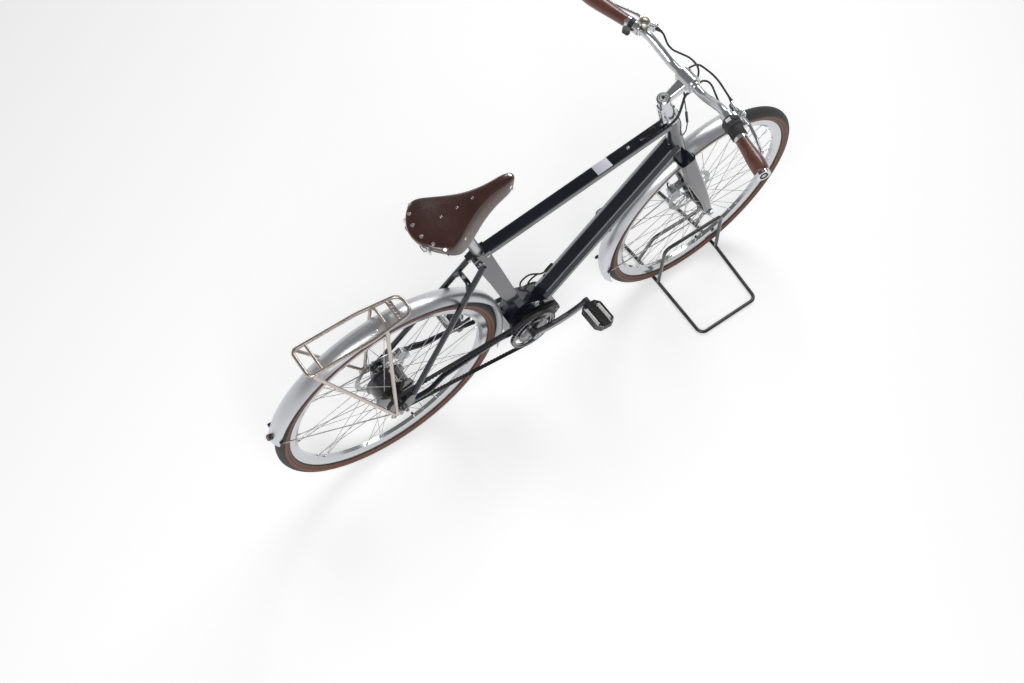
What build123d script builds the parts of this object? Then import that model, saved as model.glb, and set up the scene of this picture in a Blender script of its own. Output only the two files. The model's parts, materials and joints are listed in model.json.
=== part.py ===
"""Electric city bicycle with its front wheel in a bent-rod floor stand.

Units are millimetres.  +X points forward, +Y to the rider's left, +Z up.
The origin is on the floor, midway between the two axles, in the frame's middle plane.
"""

from build123d import *
import math
import os

# ---------------------------------------------------------------- driving sizes
TYRE_OUTER_RADIUS = 352.0
TYRE_SPACING = 402.0          # between the two tyres, along the bicycle
TYRE_WIDTH = 40.0
RIM_WIDTH = 24.0
RIM_DEPTH = 25.0
RIM_WALL = 2.0
SPOKE_RADIUS = 1.0
SPOKES_PER_SIDE = 18
SPOKE_STAGGER = 1.3           # spokes of one flange cross without touching
SEAT_GAP = 0.1                # fixed pieces of one body that bear on each other
RUNNING_FIT = 0.05            # shaft in its bore, radially
SOFT_GAP = 0.3                # curved or soft faces that only lie on each other
MOVING_GAP = 5.5              # between pieces that pass each other

AXLE_RADIUS = 4.95
FRONT_HUB_LENGTH = 100.0      # between the fork ends
REAR_HUB_LENGTH = 135.0       # between the frame ends
DISC_RADIUS = 80.0
DISC_THICKNESS = 2.0

HEAD_TILT = 19.5              # steering axis leans back from the vertical, degrees
FORK_OFFSET = 35.5            # axle ahead of the steering axis
CROWN_ABOVE_TYRE = 40.0       # tread to the crown race, along the steering axis
HEAD_TUBE_LENGTH = 194.0
HEAD_TUBE_TOP_RADIUS = 20.5
HEAD_TUBE_LOW_RADIUS = 24.5
STEERER_RADIUS = 14.3
STEM_ARM_RISE = 97.0          # head tube's top to the arm's root, along the axis
STEM_BAR_RISE = 106.0         # head tube's top to the handlebar's middle, along the axis
STEM_REACH = 65.0             # steering axis to the handlebar's middle
STEM_CAP_BACK = 10.0          # post and cap behind the steering axis

BRACKET_AHEAD = 94.0          # rear tyre's front to the crank axle
BRACKET_DROP = 55.0           # crank axle below the wheel axles
SEAT_ANGLE = 71.4
SEAT_TUBE_LENGTH = 512.0
SEAT_TUBE_WIDTH = 34.0
SEAT_POST_RADIUS = 13.6
SEAT_POST_SHOWN = 178.0       # seat tube's top to the clamp head's middle
SADDLE_LENGTH = 264.0
SADDLE_WIDTH = 162.0
SADDLE_RISE = 86.0            # leather's highest point over the post's top
SADDLE_SETBACK = 120.0        # leather's rear end behind the post's top

TOP_TUBE_WIDTH = 34.0
TOP_TUBE_DEPTH = 28.0
DOWN_TUBE_WIDTH = 58.0
DOWN_TUBE_DEPTH = 58.0

CRANK_LENGTH = 170.0
CRANK_ANGLE = 32.0            # right crank above the horizontal, pointing forward
CHAINRING_RADIUS = 76.0
SPROCKET_RADIUS = 42.0
BELT_WIDTH = 11.0
BELT_BACK = 1.6
BELT_TOOTH = 3.4
BELT_PITCH = 11.0
CHAIN_LINE = 56.0             # belt's middle plane to the right of the frame's plane
PEDAL_LENGTH = 88.0
PEDAL_WIDTH = 66.0

BAR_RADIUS = 11.1
BAR_CLAMP_RADIUS = 15.9
GRIP_LENGTH_RIGHT = 96.0
GRIP_LENGTH_LEFT = 128.0

FENDER_SIDE_GAP = 8.0         # tyre to the fender's edge, on each side
FENDER_TOP_GAP = 18.0         # tread to the fender's outer face
FENDER_SHEET = 1.4
FENDER_CROWN = 12.0
STAND_ROD_RADIUS = 6.0
STAND_HALF_LENGTH = 125.0     # between the middles of the uprights' feet, halved
STAND_TOP_HALF_LENGTH = 117.0
STAND_BASE_AHEAD = 16.0       # uprights' feet ahead of their tops
STAND_HEIGHT = 206.0
STAND_FOOT_LENGTH = 228.0
STAND_RIGHT_BASE = 34.0
STAND_LEFT_BASE = 70.0
STAND_TOP_HALF_GAP = 28.4

# ---------------------------------------------------------------- worked out places
FRONT_X = TYRE_OUTER_RADIUS + TYRE_SPACING / 2
REAR_X = -FRONT_X
AXLE_Z = TYRE_OUTER_RADIUS
TYRE_SECTION = TYRE_WIDTH / 2
TYRE_RING = TYRE_OUTER_RADIUS - TYRE_SECTION
RIM_RADIUS = TYRE_RING - math.sqrt(TYRE_SECTION**2 - (RIM_WIDTH / 2 + 0.3) ** 2)
RIM_INNER = RIM_RADIUS - RIM_DEPTH

TILT = math.radians(HEAD_TILT)
STEER_AXIS = Vector(-math.sin(TILT), 0, math.cos(TILT))
STEER_AHEAD = Vector(math.cos(TILT), 0, math.sin(TILT))
STEER_FOOT = Vector(FRONT_X, 0, AXLE_Z) - STEER_AHEAD * FORK_OFFSET


def on_steering(distance, ahead=0.0, left=0.0):
    """A point along the steering axis, counted from beside the front axle."""
    return STEER_FOOT + STEER_AXIS * distance + STEER_AHEAD * ahead + Vector(0, left, 0)


def steering_plane(distance, ahead=0.0, left=0.0):
    """A plane square to the steering axis, its x pointing ahead and its y to the left."""
    return Plane(origin=on_steering(distance, ahead, left), x_dir=STEER_AHEAD, z_dir=STEER_AXIS)


CHAINSTAY_REACH = TYRE_OUTER_RADIUS + BRACKET_AHEAD
BOTTOM_BRACKET_X = REAR_X + CHAINSTAY_REACH
BOTTOM_BRACKET_Z = AXLE_Z - BRACKET_DROP
BRACKET = Vector(BOTTOM_BRACKET_X, 0, BOTTOM_BRACKET_Z)
SEAT = math.radians(SEAT_ANGLE)
SEAT_AXIS = Vector(-math.cos(SEAT), 0, math.sin(SEAT))
SEAT_AHEAD = Vector(math.sin(SEAT), 0, math.cos(SEAT))


def on_seat(distance, ahead=0.0, left=0.0):
    """A point along the seat tube's axis, counted from the bottom bracket."""
    return BRACKET + SEAT_AXIS * distance + SEAT_AHEAD * ahead + Vector(0, left, 0)


def seat_plane(distance, ahead=0.0):
    """A plane square to the seat tube's axis."""
    return Plane(origin=on_seat(distance, ahead), x_dir=SEAT_AHEAD, z_dir=SEAT_AXIS)


CROWN_REACH = TYRE_OUTER_RADIUS + CROWN_ABOVE_TYRE
HEAD_LOW = CROWN_REACH
HEAD_TOP = CROWN_REACH + HEAD_TUBE_LENGTH
BAR_CENTRE = on_steering(HEAD_TOP + STEM_BAR_RISE, STEM_REACH)
SEAT_POST_TOP = SEAT_TUBE_LENGTH + SEAT_POST_SHOWN
SADDLE_TOP_Z = on_seat(SEAT_POST_TOP).Z + SADDLE_RISE
FENDER_WIDTH = TYRE_WIDTH + 2 * FENDER_SIDE_GAP
FENDER_RADIUS = TYRE_OUTER_RADIUS + FENDER_TOP_GAP


# ---------------------------------------------------------------- shared helpers
BEND_SHARE = 0.45             # of a straight run, taken up by the bend at one end


def across(solid_radius, y_from, y_to, x, z):
    """A round bar or disc lying across the bicycle."""
    length = y_to - y_from
    return Pos(x, (y_from + y_to) / 2, z) * Rot(90, 0, 0) * Cylinder(solid_radius, length)


def widest_bends(points):
    """The widest arc that fits at each corner of a bent bar or a cable."""
    widest = []
    for before, corner, after in zip(points, points[1:], points[2:]):
        into = corner - before
        out = after - corner
        turn = math.acos(max(-1.0, min(1.0, into.normalized().dot(out.normalized()))))
        widest.append(BEND_SHARE * min(into.length, out.length) / math.tan(turn / 2))
    return widest


def rod(points, radius, bends):
    """A round bar or tube along straight runs joined by tangent arcs."""
    points = [Vector(*p) for p in points]
    if len(points) > 2:
        wanted = bends if isinstance(bends, list) else [bends] * (len(points) - 2)
        arcs = [min(pair) for pair in zip(wanted, widest_bends(points))]
        path = FilletPolyline(*points, radius=arcs)
    else:
        path = Line(points[0], points[1])
    start = Plane(origin=path @ 0, z_dir=path % 0)
    return sweep(start * Circle(radius), path=path)


def ring_about_axle(profile, x):
    """Turns a profile, drawn as (radius, y), once round an axle."""
    return Pos(x, 0, AXLE_Z) * revolve(profile, axis=Axis.Y)


def sector_about_axle(profile, x, angle_from, angle_to):
    """Turns a profile round an axle between two angles above the forward direction."""
    turned = revolve(profile, axis=Axis.Y, revolution_arc=angle_to - angle_from)
    return Pos(x, 0, AXLE_Z) * Rot(0, -angle_to, 0) * turned


def side_plate(points, y_from, y_to):
    """A flat plate from its outline in side view."""
    outline = make_face(Polyline(*[(px, 0, pz) for px, pz in points], close=True))
    plate = extrude(outline, amount=y_to - y_from, dir=(0, 1, 0))
    return Pos(0, y_from, 0) * plate


def mirrored(shape):
    return mirror(shape, about=Plane.XZ)


def save(name, shape):
    export_step(shape, f"parts/{name}.step")


def group(*shapes):
    """Several separate solids written as one node."""
    solids = []
    for shape in shapes:
        solids.extend(shape.solids())
    return Compound(children=solids) if len(solids) > 1 else solids[0]


# ---------------------------------------------------------------- wheels
def tyre(x):
    section = Pos(TYRE_RING, 0) * Circle(TYRE_SECTION)
    section -= Pos(RIM_RADIUS + SEAT_GAP - TYRE_RING, 0) * Rectangle(2 * TYRE_RING, 3 * TYRE_WIDTH)
    return ring_about_axle(section, x)


def rim(x):
    half = RIM_WIDTH / 2
    points = [
        (RIM_RADIUS, half),
        (RIM_RADIUS, -half),
        (RIM_INNER + 9, -half + 0.6),
        (RIM_INNER, -half + 6),
        (RIM_INNER, half - 6),
        (RIM_INNER + 9, half - 0.6),
    ]
    return ring_about_axle(make_face(Polyline(*points, close=True)), x)


def spokes(x, flange_radius, flange_half_gap, cross_angle):
    """Crossed spokes from both flanges to the rim, each a straight wire."""
    reach = RIM_INNER - SEAT_GAP
    made = []
    for side in (-1, 1):
        for i in range(SPOKES_PER_SIDE):
            lean = 1 if i % 2 else -1
            stagger = side * (2.6 + lean * SPOKE_STAGGER)
            around = 360 / SPOKES_PER_SIDE * i + (180 / SPOKES_PER_SIDE if side > 0 else 0)
            hub_turn = math.radians(around)
            rim_turn = math.radians(around + lean * cross_angle)
            y_hub = side * flange_half_gap + lean * side * SPOKE_STAGGER
            start = Vector(flange_radius * math.cos(hub_turn), y_hub, flange_radius * math.sin(hub_turn))
            end = Vector(reach * math.cos(rim_turn), stagger, reach * math.sin(rim_turn))
            axis = Plane(origin=start, z_dir=end - start)
            made.append(extrude(axis * Circle(SPOKE_RADIUS), amount=(end - start).length - 0.4))
    return Pos(x, 0, AXLE_Z) * group(*made)


def hub(x, flange_radius, flange_half_gap, shell_radius, end_radius, length):
    """Hub shell with two flanges, bored for its axle."""
    bore = AXLE_RADIUS + RUNNING_FIT
    outer = flange_radius - 1.4
    inboard = flange_half_gap - SPOKE_STAGGER - SPOKE_RADIUS - 0.3
    half = length / 2 - SOFT_GAP
    points = [
        (bore, -half),
        (end_radius, -half),
        (end_radius, -flange_half_gap - 4),
        (shell_radius, -flange_half_gap - 2),
        (outer, -flange_half_gap),
        (outer, -inboard),
        (shell_radius, -inboard + 4),
        (shell_radius, inboard - 4),
        (outer, inboard),
        (outer, flange_half_gap),
        (shell_radius, flange_half_gap + 2),
        (end_radius, flange_half_gap + 4),
        (end_radius, half),
        (bore, half),
    ]
    return ring_about_axle(make_face(Polyline(*points, close=True)), x)


def brake_disc(x, y, hub_radius):
    """Slotted steel disc with a spider between its ring and its hub."""
    ring = Circle(DISC_RADIUS) - Circle(DISC_RADIUS - 15)
    for i in range(6):
        arm = Rot(0, 0, 60 * i) * Pos(DISC_RADIUS / 2, 0) * Rectangle(DISC_RADIUS - 12, 6)
        ring += arm
    ring += Circle(hub_radius + 10)
    ring -= Circle(hub_radius + SEAT_GAP)
    for i in range(24):
        hole_at = math.radians(15 * i)
        depth = DISC_RADIUS - (4.5 if i % 2 else 9.5)
        ring -= Pos(depth * math.cos(hole_at), depth * math.sin(hole_at)) * Circle(2.2)
    disc = extrude(ring, amount=DISC_THICKNESS / 2, both=True)
    return Pos(x, y, AXLE_Z) * Rot(90, 0, 0) * disc


def rear_sprocket():
    """Toothed belt pulley beside the gear hub."""
    face = pulley_outline(SPROCKET_RADIUS)
    face -= Circle(SPROCKET_HUB_RADIUS + SEAT_GAP)
    pulley = extrude(face, amount=(BELT_WIDTH - 1) / 2, both=True)
    return Pos(REAR_X, -CHAIN_LINE, AXLE_Z) * Rot(90, 0, 0) * pulley


# ---------------------------------------------------------------- belt drive
SPROCKET_HUB_RADIUS = 21.0


def teeth_round(radius):
    return round(2 * math.pi * radius / BELT_PITCH)


def pulley_outline(radius):
    """Pulley face with one shallow groove for each belt tooth."""
    root = radius - SOFT_GAP
    face = Circle(root)
    count = teeth_round(radius)
    for i in range(count):
        groove = Rot(0, 0, 360 / count * i) * Pos(root, 0) * Rectangle(2 * BELT_TOOTH, BELT_PITCH / 2)
        face -= groove
    return face


def belt_tangents():
    """Where the belt leaves both pulleys: centre line of its back, in side view."""
    front = Vector(BOTTOM_BRACKET_X, BOTTOM_BRACKET_Z)
    back = Vector(REAR_X, AXLE_Z)
    apart = front - back
    along = math.atan2(apart.Y, apart.X)
    lean = math.asin((CHAINRING_RADIUS - SPROCKET_RADIUS) / apart.length)
    return front, back, along, lean


def belt():
    """Closed loop of belt round both pulleys, its teeth on the straight runs."""
    front, back, along, lean = belt_tangents()

    def loop(extra):
        up = along + math.pi / 2 + lean
        down = along - math.pi / 2 - lean

        def rim_point(centre, radius, angle):
            return (centre.X + radius * math.cos(angle), centre.Y + radius * math.sin(angle))

        r_front = CHAINRING_RADIUS + extra
        r_back = SPROCKET_RADIUS + extra
        outline = Line(rim_point(back, r_back, up), rim_point(front, r_front, up))
        outline += ThreePointArc(
            rim_point(front, r_front, up), rim_point(front, r_front, along), rim_point(front, r_front, down)
        )
        outline += Line(rim_point(front, r_front, down), rim_point(back, r_back, down))
        outline += ThreePointArc(
            rim_point(back, r_back, down),
            rim_point(back, r_back, along + math.pi),
            rim_point(back, r_back, up),
        )
        return make_face(outline)

    face = loop(BELT_BACK) - loop(0)
    run = math.sqrt((front - back).length ** 2 - (CHAINRING_RADIUS - SPROCKET_RADIUS) ** 2)
    teeth = int(run / BELT_PITCH) - 1
    for side in (1, -1):
        normal = along + side * (math.pi / 2 + lean)
        start = back + Vector(math.cos(normal), math.sin(normal)) * SPROCKET_RADIUS
        forward = Vector(math.cos(along + side * lean), math.sin(along + side * lean))
        for i in range(2, teeth - 1):
            at = start + forward * (i * BELT_PITCH)
            inward = Vector(math.cos(normal), math.sin(normal)) * (-BELT_TOOTH / 2 + 0.2)
            tooth = Pos(at.X + inward.X, at.Y + inward.Y) * Rot(0, 0, math.degrees(normal))
            face += tooth * Rectangle(BELT_TOOTH + 0.4, BELT_PITCH * 0.45)
    band = extrude(face, amount=BELT_WIDTH / 2, both=True)
    return Pos(0, -CHAIN_LINE, 0) * Rot(90, 0, 0) * band


def chainring():
    """Toothed front pulley with open slots and a five-armed spider."""
    face = pulley_outline(CHAINRING_RADIUS)
    face -= Circle(CHAINRING_RADIUS - 14) - Circle(34)
    for i in range(5):
        arm = Rot(0, 0, 72 * i + CRANK_ANGLE) * Pos(CHAINRING_RADIUS / 2 + 6, 0)
        face += arm * Rectangle(CHAINRING_RADIUS - 24, 17)
    face -= Circle(CRANK_AXLE_RADIUS + SEAT_GAP)
    ring = extrude(face, amount=2.5, both=True)
    lip = extrude(pulley_outline(CHAINRING_RADIUS) - Circle(CHAINRING_RADIUS - 7), amount=5, both=True)
    return Pos(BOTTOM_BRACKET_X, -CHAIN_LINE, BOTTOM_BRACKET_Z) * Rot(90, 0, 0) * (ring + lip)


# ---------------------------------------------------------------- cranks and pedals
CRANK_AXLE_RADIUS = 12.0
CRANK_INNER_Y = 64.0          # inside face of a crank at its axle
CRANK_THICKNESS = 15.0
CRANK_FLARE = 34.0            # a crank's end lies this much further out than its root
PEDAL_PIN_RADIUS = 7.0


def crank_end(right):
    """Centre of the pedal hole, on the crank's inner face."""
    turn = math.radians(CRANK_ANGLE) + (0 if right else math.pi)
    x = BOTTOM_BRACKET_X + CRANK_LENGTH * math.cos(turn)
    z = BOTTOM_BRACKET_Z + CRANK_LENGTH * math.sin(turn)
    y = (CRANK_INNER_Y + CRANK_FLARE) * (-1 if right else 1)
    return x, y, z


def crank_arm(right):
    """Tapered arm from the crank axle to the pedal, drawn along +X and turned up."""
    half = CRANK_THICKNESS / 2
    y_root = CRANK_INNER_Y + half
    y_tip = CRANK_INNER_Y + CRANK_FLARE + half
    root = Plane(origin=(0, y_root, 0), x_dir=(0, 1, 0), z_dir=(1, 0, 0))
    middle = Plane(origin=(CRANK_LENGTH * 0.55, y_root + CRANK_FLARE * 0.72, 0), x_dir=(0, 1, 0), z_dir=(1, 0, 0))
    tip = Plane(origin=(CRANK_LENGTH, y_tip, 0), x_dir=(0, 1, 0), z_dir=(1, 0, 0))
    arm = loft(
        [
            root * RectangleRounded(CRANK_THICKNESS, 31, 5),
            middle * RectangleRounded(CRANK_THICKNESS, 26, 5),
            tip * RectangleRounded(CRANK_THICKNESS - 1, 23, 5),
        ]
    )
    arm += across(15.5, CRANK_INNER_Y, CRANK_INNER_Y + CRANK_THICKNESS + 2, 0, 0)
    arm += across(11.5, y_tip - half + 0.5, y_tip + half - 0.5, CRANK_LENGTH, 0)
    arm -= across(PEDAL_PIN_RADIUS + RUNNING_FIT, y_tip - 30, y_tip + 30, CRANK_LENGTH, 0)
    if right:
        arm = mirrored(arm)
    arm = Rot(0, -CRANK_ANGLE - (0 if right else 180), 0) * arm
    return Pos(BOTTOM_BRACKET_X, 0, BOTTOM_BRACKET_Z) * arm


def cranks():
    """Both arms on the axle that runs through the drive unit."""
    reach = CRANK_INNER_Y + CRANK_THICKNESS
    axle = across(CRANK_AXLE_RADIUS, -reach, reach, BOTTOM_BRACKET_X, BOTTOM_BRACKET_Z)
    return axle + crank_arm(True) + crank_arm(False)


def pedal(right):
    """Pin, flat body and open cage, its pin's end seated in the crank."""
    x, y, z = crank_end(right)
    outer = abs(y) + CRANK_THICKNESS
    start = outer + 3.0
    pin = across(PEDAL_PIN_RADIUS, abs(y) + 1.5, start + 1, 0, 0)
    body = Pos(0, start + PEDAL_LENGTH / 2, 0) * Box(30, PEDAL_LENGTH, 17)
    body = fillet(body.edges().filter_by(Axis.Y), 5)
    cage = Box(PEDAL_WIDTH, PEDAL_LENGTH, 20)
    cage = chamfer(cage.edges().filter_by(Axis.Z), 14)
    hollow = Box(PEDAL_WIDTH - 6, PEDAL_LENGTH - 6, 30)
    hollow = chamfer(hollow.edges().filter_by(Axis.Z), 12)
    cage = Pos(0, start + PEDAL_LENGTH / 2, 0) * (cage - hollow)
    made = pin + body + cage
    if right:
        made = mirrored(made)
    return Pos(x, 0, z) * Rot(0, PEDAL_TILT, 0) * made


PEDAL_TILT = 12.0


# ---------------------------------------------------------------- fork and steering
BLADE_CLEARANCE = 3.0         # fender's edge to a blade
BLADE_GAP = FENDER_WIDTH + 2 * BLADE_CLEARANCE
BLADE_CHORD = 50.0
BLADE_THICKNESS = 22.0
FORK_END_THICKNESS = 6.5
CROWN_HEIGHT = 16.0


def blade_section(distance, ahead, left, chord, thickness):
    plane = steering_plane(distance, ahead, left)
    return plane * RectangleRounded(chord, thickness, thickness * 0.42)


def fork_blade():
    """Left blade: wide and flat under the crown, slim at the fork end."""
    inner = BLADE_GAP / 2
    end_inner = FRONT_HUB_LENGTH / 2 + SEAT_GAP
    blade = loft(
        [
            blade_section(CROWN_REACH - 2, 0, inner + 8, BLADE_CHORD, BLADE_THICKNESS + 6),
            blade_section(CROWN_REACH - 60, 3, inner + 13, BLADE_CHORD, BLADE_THICKNESS),
            blade_section(CROWN_REACH * 0.5, 17, inner + 20, BLADE_CHORD * 0.8, BLADE_THICKNESS * 0.8),
            blade_section(20, FORK_OFFSET - 3, end_inner + 5, 23, 9),
        ]
    )
    tab = across(13, end_inner, end_inner + FORK_END_THICKNESS, FRONT_X, AXLE_Z)
    low = steering_plane(16, FORK_OFFSET - 2, end_inner + FORK_END_THICKNESS / 2)
    tab += low * Box(22, FORK_END_THICKNESS, 24)
    return blade + tab


def fork():
    """Crown, steerer tube and two blades with bored ends."""
    body = fork_blade()
    body += mirrored(body)
    crown = steering_plane(CROWN_REACH - 0.5 - CROWN_HEIGHT / 2) * Box(BLADE_CHORD - 2, BLADE_GAP + 24, CROWN_HEIGHT - 1)
    crown = fillet(crown.edges().filter_by(Axis.Y), 6)
    seat = steering_plane(CROWN_REACH - 4) * Cylinder(HEAD_TUBE_LOW_RADIUS, 8 - 2 * SEAT_GAP)
    steerer_top = HEAD_TOP + STEERER_IN_STEM
    steerer = steering_plane((CROWN_REACH + steerer_top) / 2) * Cylinder(STEERER_RADIUS, steerer_top - CROWN_REACH + 6)
    body = body + crown + seat + steerer
    clear = across(TYRE_OUTER_RADIUS + 22.5, -BLADE_GAP / 2 + 0.5, BLADE_GAP / 2 - 0.5, FRONT_X, AXLE_Z)
    body -= clear
    body -= across(AXLE_RADIUS + RUNNING_FIT, -90, 90, FRONT_X, AXLE_Z)
    return body


def head_tube():
    """Flared tube between the two headset cups, bored for the steerer."""
    profile = [
        (STEERER_RADIUS + RUNNING_FIT, HEAD_LOW + SEAT_GAP),
        (HEAD_TUBE_LOW_RADIUS, HEAD_LOW + SEAT_GAP),
        (HEAD_TUBE_LOW_RADIUS, HEAD_LOW + 26),
        (HEAD_TUBE_TOP_RADIUS, HEAD_TOP - 70),
        (HEAD_TUBE_TOP_RADIUS, HEAD_TOP),
        (STEERER_RADIUS + RUNNING_FIT, HEAD_TOP),
    ]
    face = make_face(Polyline(*[(r, 0, h) for r, h in profile], close=True))
    tube = revolve(face, axis=Axis.Z)
    return steering_plane(0) * tube


STEERER_IN_STEM = 34.0
STEM_ARM_HEIGHT = 26.0
STEM_POST_RADIUS = 12.0
STEM_CAP_RADIUS = 14.0
STEM_CAP_HEIGHT = 5.0


def stem_body():
    """Collar and leaning column with its rear ears, then the post and its round cap."""
    low = HEAD_TOP + SOFT_GAP
    root = HEAD_TOP + STEM_ARM_RISE
    top = root - STEM_ARM_HEIGHT / 2 - SEAT_GAP
    cap_low = root + STEM_ARM_HEIGHT / 2 + SEAT_GAP
    body = steering_plane(low + 5) * Cylinder(22.5, 10)
    foot = steering_plane(low + 8) * Circle(20.5)
    body += loft([foot, steering_plane(top, -STEM_CAP_BACK) * Circle(17)])
    ears = steering_plane((low + 12 + top) / 2, -20) * Box(20, 22, top - low - 12)
    body += fillet(ears.edges().filter_by(lambda e: abs((e % 0.5).dot(STEER_AXIS)) > 0.99), 6)
    post = steering_plane((top + cap_low) / 2, -STEM_CAP_BACK)
    body += post * Cylinder(STEM_POST_RADIUS, cap_low - top + 4)
    body += steering_plane(cap_low + STEM_CAP_HEIGHT / 2, -STEM_CAP_BACK) * Cylinder(STEM_CAP_RADIUS, STEM_CAP_HEIGHT)
    bore_top = HEAD_TOP + STEERER_IN_STEM + 5
    return body - steering_plane((low + bore_top) / 2 - 5) * Cylinder(STEERER_RADIUS + RUNNING_FIT, bore_top - low + 10)


def stem_extension():
    """Arm from its ring on the post to the bar clamp."""
    root = on_steering(HEAD_TOP + STEM_ARM_RISE, -STEM_CAP_BACK)
    along = (BAR_CENTRE - root).normalized()
    near = Plane(origin=root + along * 8, x_dir=Vector(0, 1, 0), z_dir=along)
    far = Plane(origin=BAR_CENTRE - along * 6, x_dir=Vector(0, 1, 0), z_dir=along)
    arm = loft([near * RectangleRounded(22, 22, 8), far * RectangleRounded(34, 28, 8)])
    arm += steering_plane(HEAD_TOP + STEM_ARM_RISE, -STEM_CAP_BACK) * Cylinder(17.5, STEM_ARM_HEIGHT)
    arm += across(BAR_CLAMP_RADIUS + 5.5, -22, 22, BAR_CENTRE.X, BAR_CENTRE.Z)
    arm -= steering_plane(HEAD_TOP + STEM_ARM_RISE, -STEM_CAP_BACK) * Cylinder(STEM_POST_RADIUS + SEAT_GAP, 60)
    return arm - across(BAR_CLAMP_RADIUS + SEAT_GAP, -40, 40, BAR_CENTRE.X, BAR_CENTRE.Z)


BAR_BEND_Y = 62.0
BAR_SHOULDER_Y = 140.0
BAR_END_Y = 336.0
BAR_RISE = 42.0
BAR_BACK = 19.0
BAR_SWEEP = 45.0
BAR_DROOP = 5.0


def bar_point(side, index):
    """Corners of the handlebar's centre line from the clamp outwards."""
    x, z = BAR_CENTRE.X, BAR_CENTRE.Z
    corners = [
        Vector(x, 0, z),
        Vector(x, side * BAR_BEND_Y, z),
        Vector(x - BAR_BACK, side * BAR_SHOULDER_Y, z + BAR_RISE),
        Vector(x - BAR_BACK - BAR_SWEEP, side * BAR_END_Y, z + BAR_RISE - BAR_DROOP),
    ]
    return corners[index]


def bar_half(side, grow=0.0):
    points = [bar_point(side, i) for i in range(4)]
    return rod(points, BAR_RADIUS + grow, [60, 80])


def handlebar():
    """Swept bar, thicker where the stem clamps it."""
    x, z = BAR_CENTRE.X, BAR_CENTRE.Z
    return bar_half(1) + bar_half(-1) + across(BAR_CLAMP_RADIUS, -30, 30, x, z)


def grip_plane(side, from_end):
    """A plane square to the outer run of the bar, at a distance from its end."""
    end = bar_point(side, 3)
    inward = (bar_point(side, 2) - end).normalized()
    return Plane(origin=end + inward * from_end, x_dir=(0, 0, 1), z_dir=inward)


def bar_sleeve(side, start, length, radius, end_radius=None):
    """A sleeve round the outer run of the bar, its bore just clearing the bar."""
    place = grip_plane(side, start)
    bore = Cylinder(BAR_RADIUS + SEAT_GAP, length + 2, align=(Align.CENTER, Align.CENTER, Align.MIN))
    if end_radius is None or end_radius == radius:
        body = Cylinder(radius, length, align=(Align.CENTER, Align.CENTER, Align.MIN))
    else:
        body = Cone(radius, end_radius, length, align=(Align.CENTER, Align.CENTER, Align.MIN))
    return place * (body - Pos(0, 0, -1) * bore)


END_CAP = 9.0
COLLAR = 9.0


def grip(side):
    """Leather grip, swelling towards the bar's end on the palm's side."""
    length = GRIP_LENGTH_LEFT if side > 0 else GRIP_LENGTH_RIGHT
    stations = [
        (0.0, 17.0, 19.0, -0.5),
        (0.16, 17.6, 21.5, -2.0),
        (0.40, 17.0, 21.5, -2.0),
        (0.68, 15.6, 17.5, -0.5),
        (1.0, 15.2, 15.6, 0.0),
    ]
    sections = []
    for along, high, wide, back in stations:
        place = grip_plane(side, END_CAP + SOFT_GAP + along * length)
        centre = place.origin + Vector(back, 0, 0)
        plane = Plane(origin=centre, x_dir=place.x_dir, z_dir=place.z_dir)
        sections.append(plane * Ellipse(high, wide))
    bore = grip_plane(side, 0) * Cylinder(BAR_RADIUS + SEAT_GAP, length + 40, align=(Align.CENTER, Align.CENTER, Align.MIN))
    return loft(sections) - bore


def grip_rings():
    """Chrome end caps and inner collars of both grips."""
    made = []
    for side in (-1, 1):
        length = GRIP_LENGTH_LEFT if side > 0 else GRIP_LENGTH_RIGHT
        cap = grip_plane(side, 0) * Cylinder(17.5, END_CAP, align=(Align.CENTER, Align.CENTER, Align.MIN))
        bore = Cylinder(BAR_RADIUS + SEAT_GAP, END_CAP + 2, align=(Align.CENTER, Align.CENTER, Align.MIN))
        made.append(cap - grip_plane(side, 0) * bore)
        made.append(bar_sleeve(side, END_CAP + length + 2 * SOFT_GAP, COLLAR, 16.5))
    return group(*made)


def after_grip(side):
    """Distance from the bar's end to the inboard side of a grip's collar."""
    length = GRIP_LENGTH_LEFT if side > 0 else GRIP_LENGTH_RIGHT
    return END_CAP + length + COLLAR + 3 * SOFT_GAP


SHIFTER_LENGTH = 56.0
SHIFTER_HOUSING = 24.0
REMOTE_LENGTH = 13.0
LEVER_CLAMP = 16.0
HOUSING_AHEAD = 34.0          # lever housing's middle ahead of the bar
HOUSING_LENGTH = 50.0


def twist_shifter():
    """Ribbed turning sleeve with its fixed housing and window, on the right."""
    start = after_grip(-1)
    ribbed = SHIFTER_LENGTH - SHIFTER_HOUSING
    body = bar_sleeve(-1, start, ribbed, 18.5, 20)
    body += bar_sleeve(-1, start + ribbed, SHIFTER_HOUSING, 23)
    window = grip_plane(-1, start + ribbed + SHIFTER_HOUSING / 2) * Pos(14, 0, 0) * Box(24, 26, SHIFTER_HOUSING - 2)
    bore = grip_plane(-1, start - 5) * Cylinder(BAR_RADIUS + SEAT_GAP, 90, align=(Align.CENTER, Align.CENTER, Align.MIN))
    return body + window - bore


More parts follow.
